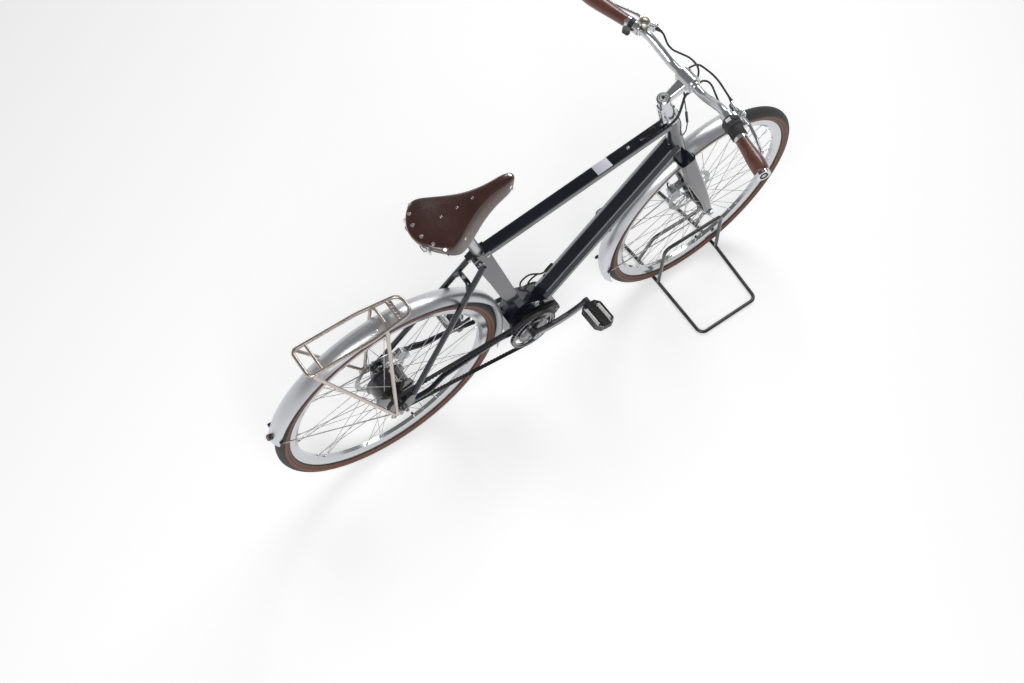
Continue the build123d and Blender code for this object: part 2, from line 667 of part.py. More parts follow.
def brake_lever(side):
    """Clamp and reservoir on the bar with a curved blade in front of the grip."""
    start = after_grip(side) + (SHIFTER_LENGTH if side < 0 else REMOTE_LENGTH) + SOFT_GAP
    clamp = bar_sleeve(side, start, LEVER_CLAMP, 16.5)
    place = grip_plane(side, start + LEVER_CLAMP / 2)
    ahead = Vector(1, 0, 0)
    root = place.origin + Vector(HOUSING_AHEAD, 0, -3)
    inward = place.z_dir
    housing = Plane(origin=root + inward * 2, x_dir=ahead, z_dir=inward) * Box(20, 19, HOUSING_LENGTH)
    housing = fillet(housing.edges().filter_by(GeomType.LINE), 4)
    middle = Vector(HOUSING_AHEAD / 2 + 5, 0, -2)
    middle -= inward * middle.dot(inward)
    bridge = Plane(origin=place.origin + middle, x_dir=ahead, z_dir=inward)
    body = clamp + housing + bridge * Box(HOUSING_AHEAD - 10, 12, 12)
    out = inward * -1
    pivot = root + ahead * 2 + out * 14
    tips = [
        pivot,
        pivot + ahead * 10 + out * 30 + Vector(0, 0, -8),
        pivot + ahead * 10 + out * 66 + Vector(0, 0, -14),
        pivot + ahead * 2 + out * 104 + Vector(0, 0, -14),
    ]
    blade = rod(tips, 4.2, [14, 40])
    knob = Pos(*tips[-1]) * Sphere(5.5)
    body = body + blade + knob
    return body - bar_half(side, SEAT_GAP)


def bell():
    """Small domed bell on a ring inboard of the left lever's clamp."""
    start = after_grip(1) + REMOTE_LENGTH + LEVER_CLAMP + 2 * SOFT_GAP
    ring = bar_sleeve(1, start, 7, 13)
    at = grip_plane(1, start + 3.5).origin
    post = Pos(at.X + 2, at.Y, at.Z + 17.5) * Cylinder(4, 10.6)
    dome = Pos(at.X + 5, at.Y, at.Z + 26) * Cylinder(16, 12)
    dome = fillet(dome.edges().group_by(Axis.Z)[-1], 7)
    return ring + post + dome


def thumb_remote():
    """Small control pod behind the bar, beside the left grip."""
    start = after_grip(1)
    body = bar_sleeve(1, start, REMOTE_LENGTH, 15)
    place = grip_plane(1, start + REMOTE_LENGTH / 2)
    behind = Vector(0, 0, 1).cross(place.z_dir).normalized()
    behind = behind if behind.X < 0 else behind * -1
    pod = Plane(origin=place.origin + behind * 26, x_dir=behind, z_dir=place.z_dir) * Box(14, 14, 20)
    pod = fillet(pod.edges().filter_by(lambda e: abs((e % 0.5).Z) > 0.9), 5)
    pod += Plane(origin=place.origin + behind * 15, x_dir=behind, z_dir=place.z_dir) * Box(14, 10, 10)
    bore = place * Cylinder(BAR_RADIUS + SEAT_GAP, 60)
    return body + pod - bore


CABLE_RADIUS = 2.5


def cord(points, radius):
    """A cable along short straight runs joined by the widest arcs that fit."""
    return rod(points, radius, widest_bends(points))


def cable_entry():
    """Where the cables end over the frame, right of the stem's foot."""
    return on_steering(HEAD_TOP + 14, -21, -23)


def lever_hose_start(side):
    """The inboard end of a lever's housing, where its hose leaves it."""
    start = after_grip(side) + (SHIFTER_LENGTH if side < 0 else REMOTE_LENGTH) + SOFT_GAP
    place = grip_plane(side, start + LEVER_CLAMP / 2)
    end = HOUSING_LENGTH / 2 + 2
    return place.origin + Vector(HOUSING_AHEAD, 0, -3) + place.z_dir * (end - SOFT_GAP / 2), place.z_dir


def from_bar(ahead, left, up):
    """A point counted from the handlebar's middle."""
    return BAR_CENTRE + Vector(ahead, left, up)


def bar_cables():
    """Hoses and cables from the controls, gathered under the clamp into one that goes down to the frame."""
    entry = cable_entry()
    gather = from_bar(-5, -9, -48)
    hose, inward = lever_hose_start(-1)
    cable = cord([
        hose + inward * 1, hose + inward * 18, from_bar(21, -64, 58), from_bar(20, -8, 49), from_bar(27, 13, 24),
        from_bar(26, 32, -8), from_bar(9, 24, -36), gather,
    ], CABLE_RADIUS)
    gear = bar_sleeve_end(-1)
    cable += cord([
        gear, gear + inward * 22, from_bar(21, -85, 3), from_bar(24, -50, 26), from_bar(27, -20, 0),
        from_bar(16, -15, -30), gather,
    ], CABLE_RADIUS)
    hose, inward = lever_hose_start(1)
    cable += cord([
        hose + inward * 1, hose + inward * 20, from_bar(9, 88, 24), from_bar(31, 33, 28), from_bar(35, 5, 19),
        from_bar(29, -7, 0), from_bar(16, -10, -31), gather,
    ], CABLE_RADIUS)
    cable += cord([
        from_bar(6, -10, -38), gather, from_bar(-13, -15, -75), from_bar(-31, -27, -93), entry,
    ], CABLE_RADIUS + 0.9)
    cable += cord([
        from_bar(-6, -10, -54), from_bar(-4, -24, -86), from_bar(5, -34, -138), from_bar(1, -38, -160),
        from_bar(-12, -40, -167), from_bar(-20, -39, -150), from_bar(-24, -36, -112), from_bar(-30, -27, -92),
    ], 1.5)
    cable += rod([from_bar(-2.6, -25.6, -94), from_bar(3.4, -32.2, -128)], 3.4, None)
    return cable


def bar_sleeve_end(side):
    """The underside of the shifter's housing, where its cable leaves it."""
    place = grip_plane(side, after_grip(side) + SHIFTER_LENGTH)
    offset = Vector(8, 0, -19)
    return place.origin + offset - place.z_dir * (offset.dot(place.z_dir) - SEAT_GAP)


def front_brake_hose():
    """Short hose from the left blade's rear face down to the caliper."""
    top = on_steering(176, -2, FRONT_HUB_LENGTH / 2 - 2)
    return cord([top, top + STEER_AHEAD * -16 - STEER_AXIS * 10, on_steering(128, -32, 44), on_steering(90.4, -22, 42)], CABLE_RADIUS)


# ---------------------------------------------------------------- front end, continued
FRONT_DISC_Y = 38.0
REAR_DISC_Y = 52.0
CALIPER_SLOT = 6.0


def front_caliper():
    """Two-sided caliper behind the left blade, astride the disc."""
    inner = FRONT_DISC_Y - 9
    outer = FRONT_HUB_LENGTH / 2 + 4
    middle = (inner + outer) / 2
    body = steering_plane(64, -17, middle) * Box(30, outer - inner, 52)
    body = fillet(body.edges().filter_by(Axis.Y), 6)
    foot = steering_plane(64, 7, outer - 3) * Box(24, 6, 40)
    half = CALIPER_SLOT / 2
    slot = across(DISC_RADIUS + 2, FRONT_DISC_Y - half, FRONT_DISC_Y + half, FRONT_X, AXLE_Z)
    blade = fork_blade()
    return body + foot - slot - blade - Pos(*(STEER_AHEAD * -SEAT_GAP)) * blade


def front_axle():
    """Axle through both fork ends with a nut on each."""
    end = FRONT_HUB_LENGTH / 2 + SEAT_GAP + FORK_END_THICKNESS
    axle = across(AXLE_RADIUS, -end - 11, end + 11, FRONT_X, AXLE_Z)
    for side in (-1, 1):
        nut = Rot(90, 0, 0) * extrude(RegularPolygon(9.5, 6), amount=4, both=True)
        washer = across(10.5, *sorted((side * (end + SEAT_GAP), side * (end + 1.5))), FRONT_X, AXLE_Z)
        axle += Pos(FRONT_X, side * (end + 5.2), AXLE_Z) * nut + washer
    return axle


def fender_profile():
    """Crowned sheet, drawn as (radius, y)."""
    half = FENDER_WIDTH / 2
    edge = FENDER_RADIUS - FENDER_CROWN
    outer = ThreePointArc((edge, -half), (FENDER_RADIUS, 0), (edge, half))
    inner_edge = half - FENDER_SHEET
    inner = ThreePointArc((edge, inner_edge), (FENDER_RADIUS - FENDER_SHEET, 0), (edge, -inner_edge))
    closed = outer + Line((edge, half), (edge, inner_edge)) + inner + Line((edge, -inner_edge), (edge, -half))
    return make_face(closed)


FRONT_FENDER_FROM = 80.0
FRONT_FENDER_TO = 204.0
REAR_FENDER_FROM = -17.0
REAR_FENDER_TO = 163.5


def front_fender():
    blade = sector_about_axle(fender_profile(), FRONT_X, FRONT_FENDER_FROM, FRONT_FENDER_TO)
    top = steering_plane(CROWN_REACH - CROWN_HEIGHT - 0.4, -4)
    tab = top * Box(26, 18, 8, align=(Align.CENTER, Align.CENTER, Align.MAX))
    tab -= across(FENDER_RADIUS - FENDER_SHEET - 0.6, -40, 40, FRONT_X, AXLE_Z)
    return blade + tab - fork_crown_room()


def fork_crown_room():
    return steering_plane(CROWN_REACH - CROWN_HEIGHT - 0.4) * Box(
        80, 110, 30, align=(Align.CENTER, Align.CENTER, Align.MIN)
    )


def rear_fender():
    return sector_about_axle(fender_profile(), REAR_X, REAR_FENDER_FROM, REAR_FENDER_TO)


STAY_WIRE = 2.0


def fender_stays(x, angle, plate_face, foot):
    """One wire each side from an eyelet near the axle to a clip across the fender."""
    made = []
    turn = math.radians(angle)
    reach = FENDER_RADIUS - FENDER_CROWN + 2
    foot_y = plate_face + STAY_WIRE + 0.6
    for side in (-1, 1):
        high_y = side * (FENDER_WIDTH / 2 + STAY_WIRE + 0.2)
        high = Vector(x + reach * math.cos(turn), high_y, AXLE_Z + reach * math.sin(turn))
        low = Vector(x + foot[0], side * foot_y, AXLE_Z + foot[1])
        y0, y1 = sorted((side * (plate_face + SEAT_GAP), side * (foot_y + STAY_WIRE + 0.6)))
        made.append(rod([low, high], STAY_WIRE, None) + across(4.5, y0, y1, low.X, low.Z))
    return group(*made)


def wheel_stand():
    """Bent rod: an upright loop each side of the wheel and a foot loop each side on the floor."""
    r = STAND_ROD_RADIUS
    bend = 22.0

    low = [FRONT_X + STAND_BASE_AHEAD - STAND_HALF_LENGTH, FRONT_X + STAND_BASE_AHEAD + STAND_HALF_LENGTH]
    high = [FRONT_X - STAND_TOP_HALF_LENGTH, FRONT_X + STAND_TOP_HALF_LENGTH]

    def half(side, base):
        top = side * STAND_TOP_HALF_GAP
        reach = side * (abs(base) + STAND_FOOT_LENGTH)
        upright = [(low[0], base, r), (high[0], top, STAND_HEIGHT - r), (high[1], top, STAND_HEIGHT - r), (low[1], base, r)]
        foot = [(low[0], base, r), (high[0], reach, r), (high[1], reach, r), (low[1], base, r)]
        made = rod(upright, r, bend) + rod(foot, r, bend)
        for x in low:
            made += Pos(x, base, r) * Sphere(r)
        return made

    stand = half(-1, -STAND_RIGHT_BASE) + half(1, STAND_LEFT_BASE)
    for x in low:
        stand += rod([(x, -STAND_RIGHT_BASE, r), (x, STAND_LEFT_BASE, r)], r, None)
    return stand


# ---------------------------------------------------------------- frame
def tube_between(start, end, width, depth, corner):
    """A straight tube of rounded rectangular section, its depth lying in side view."""
    axis = (end - start).normalized()
    plane = Plane(origin=start, x_dir=Vector(0, 1, 0), z_dir=axis)
    return extrude(plane * RectangleRounded(width, depth, corner), amount=(end - start).length)


TOP_TUBE_SEAT = 500.0         # where its centre line meets the seat tube's axis
TOP_TUBE_HEAD = HEAD_TOP - 21.0
DOWN_TUBE_HEAD = HEAD_LOW + 66.0


def head_room():
    """A bar slightly larger than the head tube, for trimming what butts against it."""
    profile = [
        (0, HEAD_LOW - 20),
        (HEAD_TUBE_LOW_RADIUS + SEAT_GAP, HEAD_LOW - 20),
        (HEAD_TUBE_LOW_RADIUS + SEAT_GAP, HEAD_LOW + 26),
        (HEAD_TUBE_TOP_RADIUS + SEAT_GAP, HEAD_TOP - 70),
        (HEAD_TUBE_TOP_RADIUS + SEAT_GAP, HEAD_TOP + 60),
        (0, HEAD_TOP + 60),
    ]
    face = make_face(Polyline(*[(r, 0, h) for r, h in profile], close=True))
    return steering_plane(0) * revolve(face, axis=Axis.Z)


def top_tube():
    start = on_seat(TOP_TUBE_SEAT)
    end = on_steering(TOP_TUBE_HEAD)
    tube = tube_between(start, end, TOP_TUBE_WIDTH, TOP_TUBE_DEPTH, 7)
    return tube - head_room() - seat_room()


def seat_room():
    """The room behind the seat tube's front edge, for trimming what butts against it."""
    low = on_seat(0, SEAT_FRONT + SEAT_GAP)
    high = on_seat(SEAT_TUBE_LENGTH + 80, SEAT_FRONT + SEAT_GAP)
    behind = Vector(-120, 0, 0)
    points = [low, high, high + behind, low + behind]
    return side_plate([(p.X, p.Z) for p in points], -SEAT_TUBE_WIDTH, SEAT_TUBE_WIDTH)


SEAT_FRONT = 25.0             # seat tube's front edge ahead of its axis, at the top
SEAT_BACK = 25.0


def seat_outline(grow=0.0):
    """Side view of the deep seat tube, cut back in a hollow for the rear wheel."""
    stations = [
        (SEAT_TUBE_LENGTH, -SEAT_BACK, SEAT_FRONT),
        (SEAT_TUBE_LENGTH - 90, -SEAT_BACK + 1, SEAT_FRONT),
        (355, -SEAT_BACK + 4, SEAT_FRONT),
        (240, -SEAT_BACK + 6, SEAT_FRONT),
        (150, -6, SEAT_FRONT - 1),
        (128, 4, SEAT_FRONT - 1),
    ]
    back = [on_seat(d, b - grow) for d, b, _ in stations]
    front = [on_seat(d, f + grow) for d, _, f in reversed(stations)]
    return [(p.X, p.Z) for p in back + front]


def crown_sweep():
    """The room that the fork's crown turns through, with its clearance."""
    swept = math.hypot(BLADE_CHORD / 2, BLADE_GAP / 2 + BLADE_THICKNESS) + MOVING_GAP
    top = CROWN_REACH + MOVING_GAP
    return steering_plane(top - 60) * Cylinder(swept, 120)


def down_tube_line():
    """Centre of the flat upper face, from the drive unit to the head tube."""
    head = on_steering(DOWN_TUBE_HEAD) + Vector(-6, 0, 12)
    foot = Vector(BOTTOM_BRACKET_X + 56, 0, BOTTOM_BRACKET_Z + 78)
    return foot, head


def down_tube():
    """Wide bevelled tube: flat on top, its lower sides drawn in to a narrow belly."""
    foot, head = down_tube_line()
    axis = (head - foot).normalized()
    plane = Plane(origin=foot, x_dir=Vector(0, 1, 0), z_dir=axis)
    up = plane.y_dir.Z
    depth = DOWN_TUBE_DEPTH if up < 0 else -DOWN_TUBE_DEPTH
    half = DOWN_TUBE_WIDTH / 2
    right = [(-half * 0.62, 0), (-half, depth * 0.19), (-half, depth * 0.42), (-half * 0.55, depth * 0.96)]
    left = [(-u, w) for u, w in reversed(right)]
    face = make_face(plane * Polyline(*right, (0, depth), *left, close=True))
    tube = extrude(face, amount=(head - foot).length + 20, dir=axis)
    ahead = steering_plane(DOWN_TUBE_HEAD, -6) * Box(200, 160, 400, align=(Align.MIN, Align.CENTER, Align.CENTER))
    return tube - head_room() - crown_sweep() - ahead


def drive_cradle():
    """Frame's foot round the top and back of the drive unit."""
    x, z = BOTTOM_BRACKET_X, BOTTOM_BRACKET_Z
    foot, head = down_tube_line()
    axis = (head - foot).normalized()
    under = Vector(axis.Z, 0, -axis.X) * DOWN_TUBE_DEPTH
    seat_front = on_seat(128 - SEAT_GAP, SEAT_FRONT)
    seat_back = on_seat(128 - SEAT_GAP, 4)
    points = [
        (x - 62, z - 24),
        (x - 66, z + 60),
        (seat_back.X - 14, seat_back.Z - 16),
        (seat_back.X, seat_back.Z),
        (seat_front.X, seat_front.Z),
        (foot.X - axis.X * SEAT_GAP, foot.Z - axis.Z * SEAT_GAP),
        (foot.X + under.X - axis.X * SEAT_GAP, foot.Z + under.Z - axis.Z * SEAT_GAP),
        (foot.X + under.X - 22, foot.Z + under.Z - 22),
    ]
    block = side_plate(points, -CRADLE_HALF_WIDTH, CRADLE_HALF_WIDTH)
    block -= side_plate(drive_outline(SEAT_GAP), -CRADLE_HALF_WIDTH - 1, CRADLE_HALF_WIDTH + 1)
    return block


CRADLE_HALF_WIDTH = 30.0
DRIVE_HALF_WIDTH = 40.0
DRIVE_COVER_RADIUS = 52.0


def drive_outline(grow=0.0):
    x, z = BOTTOM_BRACKET_X, BOTTOM_BRACKET_Z
    g = grow
    return [
        (x - 44 - g, z - 26 - g),
        (x - 46 - g, z + 20 + g),
        (x - 12 - g, z + 52 + g),
        (x + 60, z + 40 + g),
        (x + 104 + g, z + 20 + g),
        (x + 112 + g, z - 6),
        (x + 86 + g, z - 44 - g),
        (x + 30, z - 58 - g),
        (x - 22, z - 50 - g),
    ]


def drive_motor():
    """Closed drive unit: body, round ribbed cover on the left, boss on the right."""
    x, z = BOTTOM_BRACKET_X, BOTTOM_BRACKET_Z
    unit = side_plate(drive_outline(), -DRIVE_HALF_WIDTH, DRIVE_HALF_WIDTH)
    unit += across(DRIVE_COVER_RADIUS, DRIVE_HALF_WIDTH, DRIVE_HALF_WIDTH + 14, x + 50, z - 4)
    unit += across(30, DRIVE_HALF_WIDTH, DRIVE_HALF_WIDTH + 18, x, z)
    unit += across(30, -DRIVE_HALF_WIDTH - 8, -DRIVE_HALF_WIDTH, x, z)
    unit -= across(CRANK_AXLE_RADIUS + RUNNING_FIT, -90, 90, x, z)
    return unit


STAY_END_Y = 71.0             # centre plane of the frame's rear ends
STAY_END_THICKNESS = 7.0
CHAINSTAY_RADIUS = 8.0


def chainstay_point(share, y, z):
    """A point of a chainstay, at a share of the way from the rear axle to the crank axle."""
    return Vector(REAR_X + share * CHAINSTAY_REACH, y, z)


def chainstays():
    """S-bent stays; the right one passes from outside the belt to inside it."""
    made = []
    for side in (-1, 1):
        points = [
            Vector(REAR_X + 34, side * STAY_END_Y, AXLE_Z + 6),
            chainstay_point(0.186, side * (STAY_END_Y + 1), AXLE_Z + 6),
            chainstay_point(0.309, side * 57, AXLE_Z + 4),
            chainstay_point(0.50, side * 51, AXLE_Z - 0.05 * BRACKET_DROP),
            chainstay_point(0.758, side * 41, AXLE_Z - 0.40 * BRACKET_DROP),
            Vector(BOTTOM_BRACKET_X - 69, side * 37.5, BOTTOM_BRACKET_Z + 16),
        ]
        made.append(rod(points, CHAINSTAY_RADIUS, [70, 90, 200, 200]))
    return group(*made)


def rear_ends():
    """Plates that carry the axle and join each chainstay to its seatstay."""
    made = []
    for side in (-1, 1):
        y0, y1 = sorted((side * (STAY_END_Y - STAY_END_THICKNESS / 2), side * (STAY_END_Y + STAY_END_THICKNESS / 2)))
        points = [
            (REAR_X - 22, AXLE_Z + 6),
            (REAR_X - 14, AXLE_Z - 16),
            (REAR_X + 10, AXLE_Z - 18),
            (REAR_X + 33.5, AXLE_Z - 4),
            (REAR_X + 33.5, AXLE_Z + 18),
            (REAR_X + 40, AXLE_Z + 34),
            (REAR_X + 22, AXLE_Z + 46),
            (REAR_X - 12, AXLE_Z + 20),
        ]
        plate = side_plate(points, y0, y1)
        plate -= across(AXLE_RADIUS + RUNNING_FIT, -100, 100, REAR_X, AXLE_Z)
        made.append(plate)
    return group(*made)


SEATSTAY_TOP = 474.0
SEATSTAY_RADIUS = 8.0
SEATSTAY_TOP_Y = 22.5


def seatstay_ends(side):
    low = Vector(REAR_X + 33, side * STAY_END_Y, AXLE_Z + 43)
    high = on_seat(SEATSTAY_TOP, -SEAT_BACK + 16, side * SEATSTAY_TOP_Y)
    return low, high


def seatstays():
    """Straight stays with a curved bridge over the rear fender."""
    made = None
    for side in (-1, 1):
        low, high = seatstay_ends(side)
        stay = rod([low, high], SEATSTAY_RADIUS, None)
        made = stay if made is None else made + stay
    low, high = seatstay_ends(1)
    span = high - low
    at = low + span * 0.80
    arch = [
        Vector(at.X, -at.Y + 1, at.Z),
        Vector(at.X + 8, -at.Y * 0.55, at.Z + 22),
        Vector(at.X + 8, at.Y * 0.55, at.Z + 22),
        Vector(at.X, at.Y - 1, at.Z),
    ]
    made += rod(arch, 7.0, 12)
    low_room = side_plate(
        [(REAR_X - 30, AXLE_Z - 30), (REAR_X + 52, AXLE_Z - 30), (REAR_X + 52, AXLE_Z + 25.9 + SEAT_GAP), (REAR_X + 22, AXLE_Z + 46 + SEAT_GAP),
         (REAR_X - 30, AXLE_Z + 20)], -100, 100)
    tube_half = SEAT_TUBE_WIDTH / 2 + SEAT_GAP
    return made - low_room - side_plate(seat_outline(SEAT_GAP), -tube_half, tube_half)


def seat_tube():
    """Deep flat tube, bored for the seat post, its side faces bevelled at the edges."""
    tube = side_plate(seat_outline(), -SEAT_TUBE_WIDTH / 2, SEAT_TUBE_WIDTH / 2)
    bore = seat_plane(SEAT_TUBE_LENGTH - 110) * Cylinder(
        SEAT_POST_RADIUS + RUNNING_FIT, 130, align=(Align.CENTER, Align.CENTER, Align.MIN)
    )
    return tube - bore


def seat_clamp():
    """Collar round the post on top of the seat tube, with its rear ear and bolt."""
    low = SEAT_TUBE_LENGTH + SEAT_GAP
    ring = seat_plane(low) * Cylinder(19, 13, align=(Align.CENTER, Align.CENTER, Align.MIN))
    ear = seat_plane(low + 6.5, -24) * Box(18, 16, 13)
    bore = seat_plane(low - 1) * Cylinder(
        SEAT_POST_RADIUS + RUNNING_FIT, 20, align=(Align.CENTER, Align.CENTER, Align.MIN)
    )
    return ring + ear - bore


SEAT_POST_LOW = SEAT_TUBE_LENGTH - 105


def seat_post():
    """Straight post with the clamp head that holds the saddle rails."""
    post = seat_plane(SEAT_POST_LOW) * Cylinder(
        SEAT_POST_RADIUS, SEAT_POST_TOP - SEAT_POST_LOW, align=(Align.CENTER, Align.CENTER, Align.MIN)
    )
    top = on_seat(SEAT_POST_TOP)
    head = Pos(top.X, 0, top.Z - 3) * Box(42, 50, 22)
    head = fillet(head.edges().filter_by(Axis.Y), 5)
    head -= saddle_rail_shape(RAIL_RADIUS + SEAT_GAP)
    return post + head


RAIL_RADIUS = 3.5
RAIL_HALF_GAP = 22.0


def saddle_rail_points(side):
    top = on_seat(SEAT_POST_TOP)
    z = top.Z - 3
    return [
        Vector(saddle_back() + 9, side * 40, SADDLE_TOP_Z - 38),
        Vector(top.X - 58, side * RAIL_HALF_GAP, z),
        Vector(top.X + 50, side * RAIL_HALF_GAP, z),
        Vector(saddle_back() + 0.955 * SADDLE_LENGTH, side * 7, SADDLE_TOP_Z - 34),
    ]


def saddle_rail_shape(radius):
    made = None
    for side in (-1, 1):
        points = saddle_rail_points(side)
        bar = rod(points, radius, [26, 50])
        made = bar if made is None else made + bar
    return made


def saddle_back():
    return on_seat(SEAT_POST_TOP).X - SADDLE_SETBACK


def saddle_plate(x, half, top, depth, thickness, keep_below):
    """A plate across the saddle, seated just inside the leather."""
    wall = saddle_section(x, half - SADDLE_WALL - SOFT_GAP, top - SADDLE_WALL - SOFT_GAP, depth - 8)
    plate = extrude(wall, amount=thickness / 2, dir=(1, 0, 0), both=True)
    return plate & (Pos(x, 0, keep_below - 100) * Box(60, 400, 200))


def saddle_rails():
    """Two rails between the cantle plate and the nose plate that the leather is riveted to."""
    back = saddle_back()
    wide = SADDLE_WIDTH / 2
    cantle = saddle_plate(back + 8, 0.76 * wide, SADDLE_TOP_Z - 16, 30, 5, SADDLE_TOP_Z - 22)
    nose = saddle_plate(back + 0.955 * SADDLE_LENGTH, 0.22 * wide, SADDLE_TOP_Z - 1.5, 44, 6, SADDLE_TOP_Z - 12)
    return saddle_rail_shape(RAIL_RADIUS) + cantle + nose


SADDLE_WALL = 6.0


def section_curve(x, w, t, low):
    """Half-round crown with turned-down sides, from one lower edge to the other."""
    depth = t - low
    return Spline(
        (x, -w, low),
        (x, -w + 0.02 * w, t - 0.5 * depth),
        (x, -0.72 * w, t - 0.16 * depth),
        (x, 0, t),
        (x, 0.72 * w, t - 0.16 * depth),
        (x, w - 0.02 * w, t - 0.5 * depth),
        (x, w, low),
    )


def saddle_section(x, half, top, depth):
    """A closed plate shape under one crown curve."""
    curve = section_curve(x, half, top, top - depth)
    return make_face(curve + Line(curve @ 1, curve @ 0))


def leather_section(x, half, top, depth):
    """The leather's cross section, open underneath."""
    low = top - depth
    outer = section_curve(x, half, top, low)
    inner = section_curve(x, half - SADDLE_WALL, top - SADDLE_WALL, low)
    return make_face(outer + Line(outer @ 1, inner @ 1) + inner + Line(inner @ 0, outer @ 0))


def saddle():
    """Leather top: narrow nose, wide rounded back, sides turned down."""
    back_x = saddle_back()
    wide = SADDLE_WIDTH / 2
    stations = [
        (0.0, 0.70, -17, 29),
        (0.06, 0.88, -14, 32),
        (0.17, 1.00, -13, 38),
        (0.31, 0.89, -14, 42),
        (0.45, 0.63, -13, 42),
        (0.60, 0.39, -9, 42),
        (0.78, 0.26, -3, 44),
        (0.93, 0.24, 0, 45),
        (1.0, 0.18, -3, 41),
    ]
    sections = []
    for along, share, rise, depth in stations:
        sections.append(leather_section(back_x + along * SADDLE_LENGTH, share * wide, SADDLE_TOP_Z + rise, depth))
    return loft(sections)


# ---------------------------------------------------------------- rear end
RACK_TUBE_RADIUS = 5.0
RACK_HALF_WIDTH = 42.0
RACK_FRONT_HALF_WIDTH = 29.0
RACK_ABOVE_FENDER = 20.0
RACK_Z = AXLE_Z + FENDER_RADIUS + RACK_ABOVE_FENDER
RACK_REAR_X = REAR_X - 224
RACK_TAPER_X = REAR_X - 47
RACK_STRUT_X = REAR_X - 7
RACK_FRONT_X = REAR_X + 71
RACK_FOOT_Y = 82.0


def rack_half_width(x):
    """Half the platform's width, straight at the back and drawn in towards the front."""
    share = max(0.0, (x - RACK_TAPER_X) / (RACK_FRONT_X - RACK_TAPER_X))
    return RACK_HALF_WIDTH - share * (RACK_HALF_WIDTH - RACK_FRONT_HALF_WIDTH)


def rear_rack():
    """Looped platform of thin stainless tube on two legs a side."""
    r = RACK_TUBE_RADIUS
    w = RACK_HALF_WIDTH
    front = RACK_FRONT_HALF_WIDTH
    loop = FilletPolyline(
        (RACK_REAR_X, -w, RACK_Z),
        (RACK_REAR_X, w, RACK_Z),
        (RACK_TAPER_X, w, RACK_Z),
        (RACK_FRONT_X, front, RACK_Z),
        (RACK_FRONT_X, -front, RACK_Z),
        (RACK_TAPER_X, -w, RACK_Z),
        radius=[14, 14, 150, 24, 24, 150],
        close=True,
    )
    rack = sweep(Plane(origin=loop @ 0, z_dir=loop % 0) * Circle(r), path=loop)
    for x in (RACK_REAR_X + 36, RACK_FRONT_X - 38):
        half = rack_half_width(x)
        rack += across(r - 1, -half, half, x, RACK_Z)
    strut = rack_half_width(RACK_STRUT_X)
    arch = [
        (RACK_STRUT_X, -strut, RACK_Z),
        (RACK_STRUT_X + 6, -strut * 0.6, RACK_Z + 5),
        (RACK_STRUT_X + 6, strut * 0.6, RACK_Z + 5),
        (RACK_STRUT_X, strut, RACK_Z),
    ]
    rack += rod(arch, r - 1, 14)
    foot_x = REAR_X - 34
    foot_z = AXLE_Z + 8
    for side in (-1, 1):
        foot_y = side * RACK_FOOT_Y
        rack += rod([(RACK_REAR_X + 8, side * w, RACK_Z), (foot_x - 3, foot_y, foot_z)], r, None)
        rack += rod([(RACK_STRUT_X, side * strut, RACK_Z), (foot_x + 4, foot_y, foot_z)], r, None)
        y0, y1 = sorted((side * (RACK_FOOT_Y - 4), side * (RACK_FOOT_Y + 3)))
        rack += side_plate(
            [(foot_x - 14, foot_z - 8), (foot_x + 21, foot_z - 16), (foot_x + 22, foot_z + 4), (foot_x + 4, foot_z + 14)],
            y0, y1)
        boss_inner, boss_outer = sorted((side * (STAY_END_Y + STAY_END_THICKNESS / 2 + SEAT_GAP), side * RACK_FOOT_Y))
        rack += across(5, boss_inner, boss_outer, foot_x + 17, foot_z - 6)
    return rack


def rear_axle():
    """Axle with its nuts and the washers against the frame's ends."""
    end = STAY_END_Y + STAY_END_THICKNESS / 2
    axle = across(AXLE_RADIUS, -end - 16, end + 16, REAR_X, AXLE_Z)
    for side in (-1, 1):
        nut = Rot(90, 0, 0) * extrude(RegularPolygon(9.5, 6), amount=4, both=True)
        washer = across(8.5, *sorted((side * (end + SEAT_GAP), side * (end + 1.5))), REAR_X, AXLE_Z)
        axle += Pos(REAR_X, side * (end + 5.2), AXLE_Z) * nut + washer
    return axle


def rear_caliper():
    """Caliper on the left, ahead of the axle between the stays."""
    inner = REAR_DISC_Y - 9
    outer = REAR_DISC_Y + 7.5
    middle = (inner + outer) / 2
    body = Pos(REAR_X + 71, middle, AXLE_Z + 33) * Rot(0, 62, 0) * Box(50, outer - inner, 30)
    body = fillet(body.edges().filter_by(Axis.Y), 6)
    arm = Pos(REAR_X + 42, outer - 3, AXLE_Z + 30) * Box(40, 6, 14)
    plate_face = STAY_END_Y - STAY_END_THICKNESS / 2 - SEAT_GAP
    arm += across(6, outer - 4, plate_face, REAR_X + 28, AXLE_Z + 30)
    half = CALIPER_SLOT / 2
    slot = across(DISC_RADIUS + 2, REAR_DISC_Y - half, REAR_DISC_Y + half, REAR_X, AXLE_Z)
    return body + arm - slot


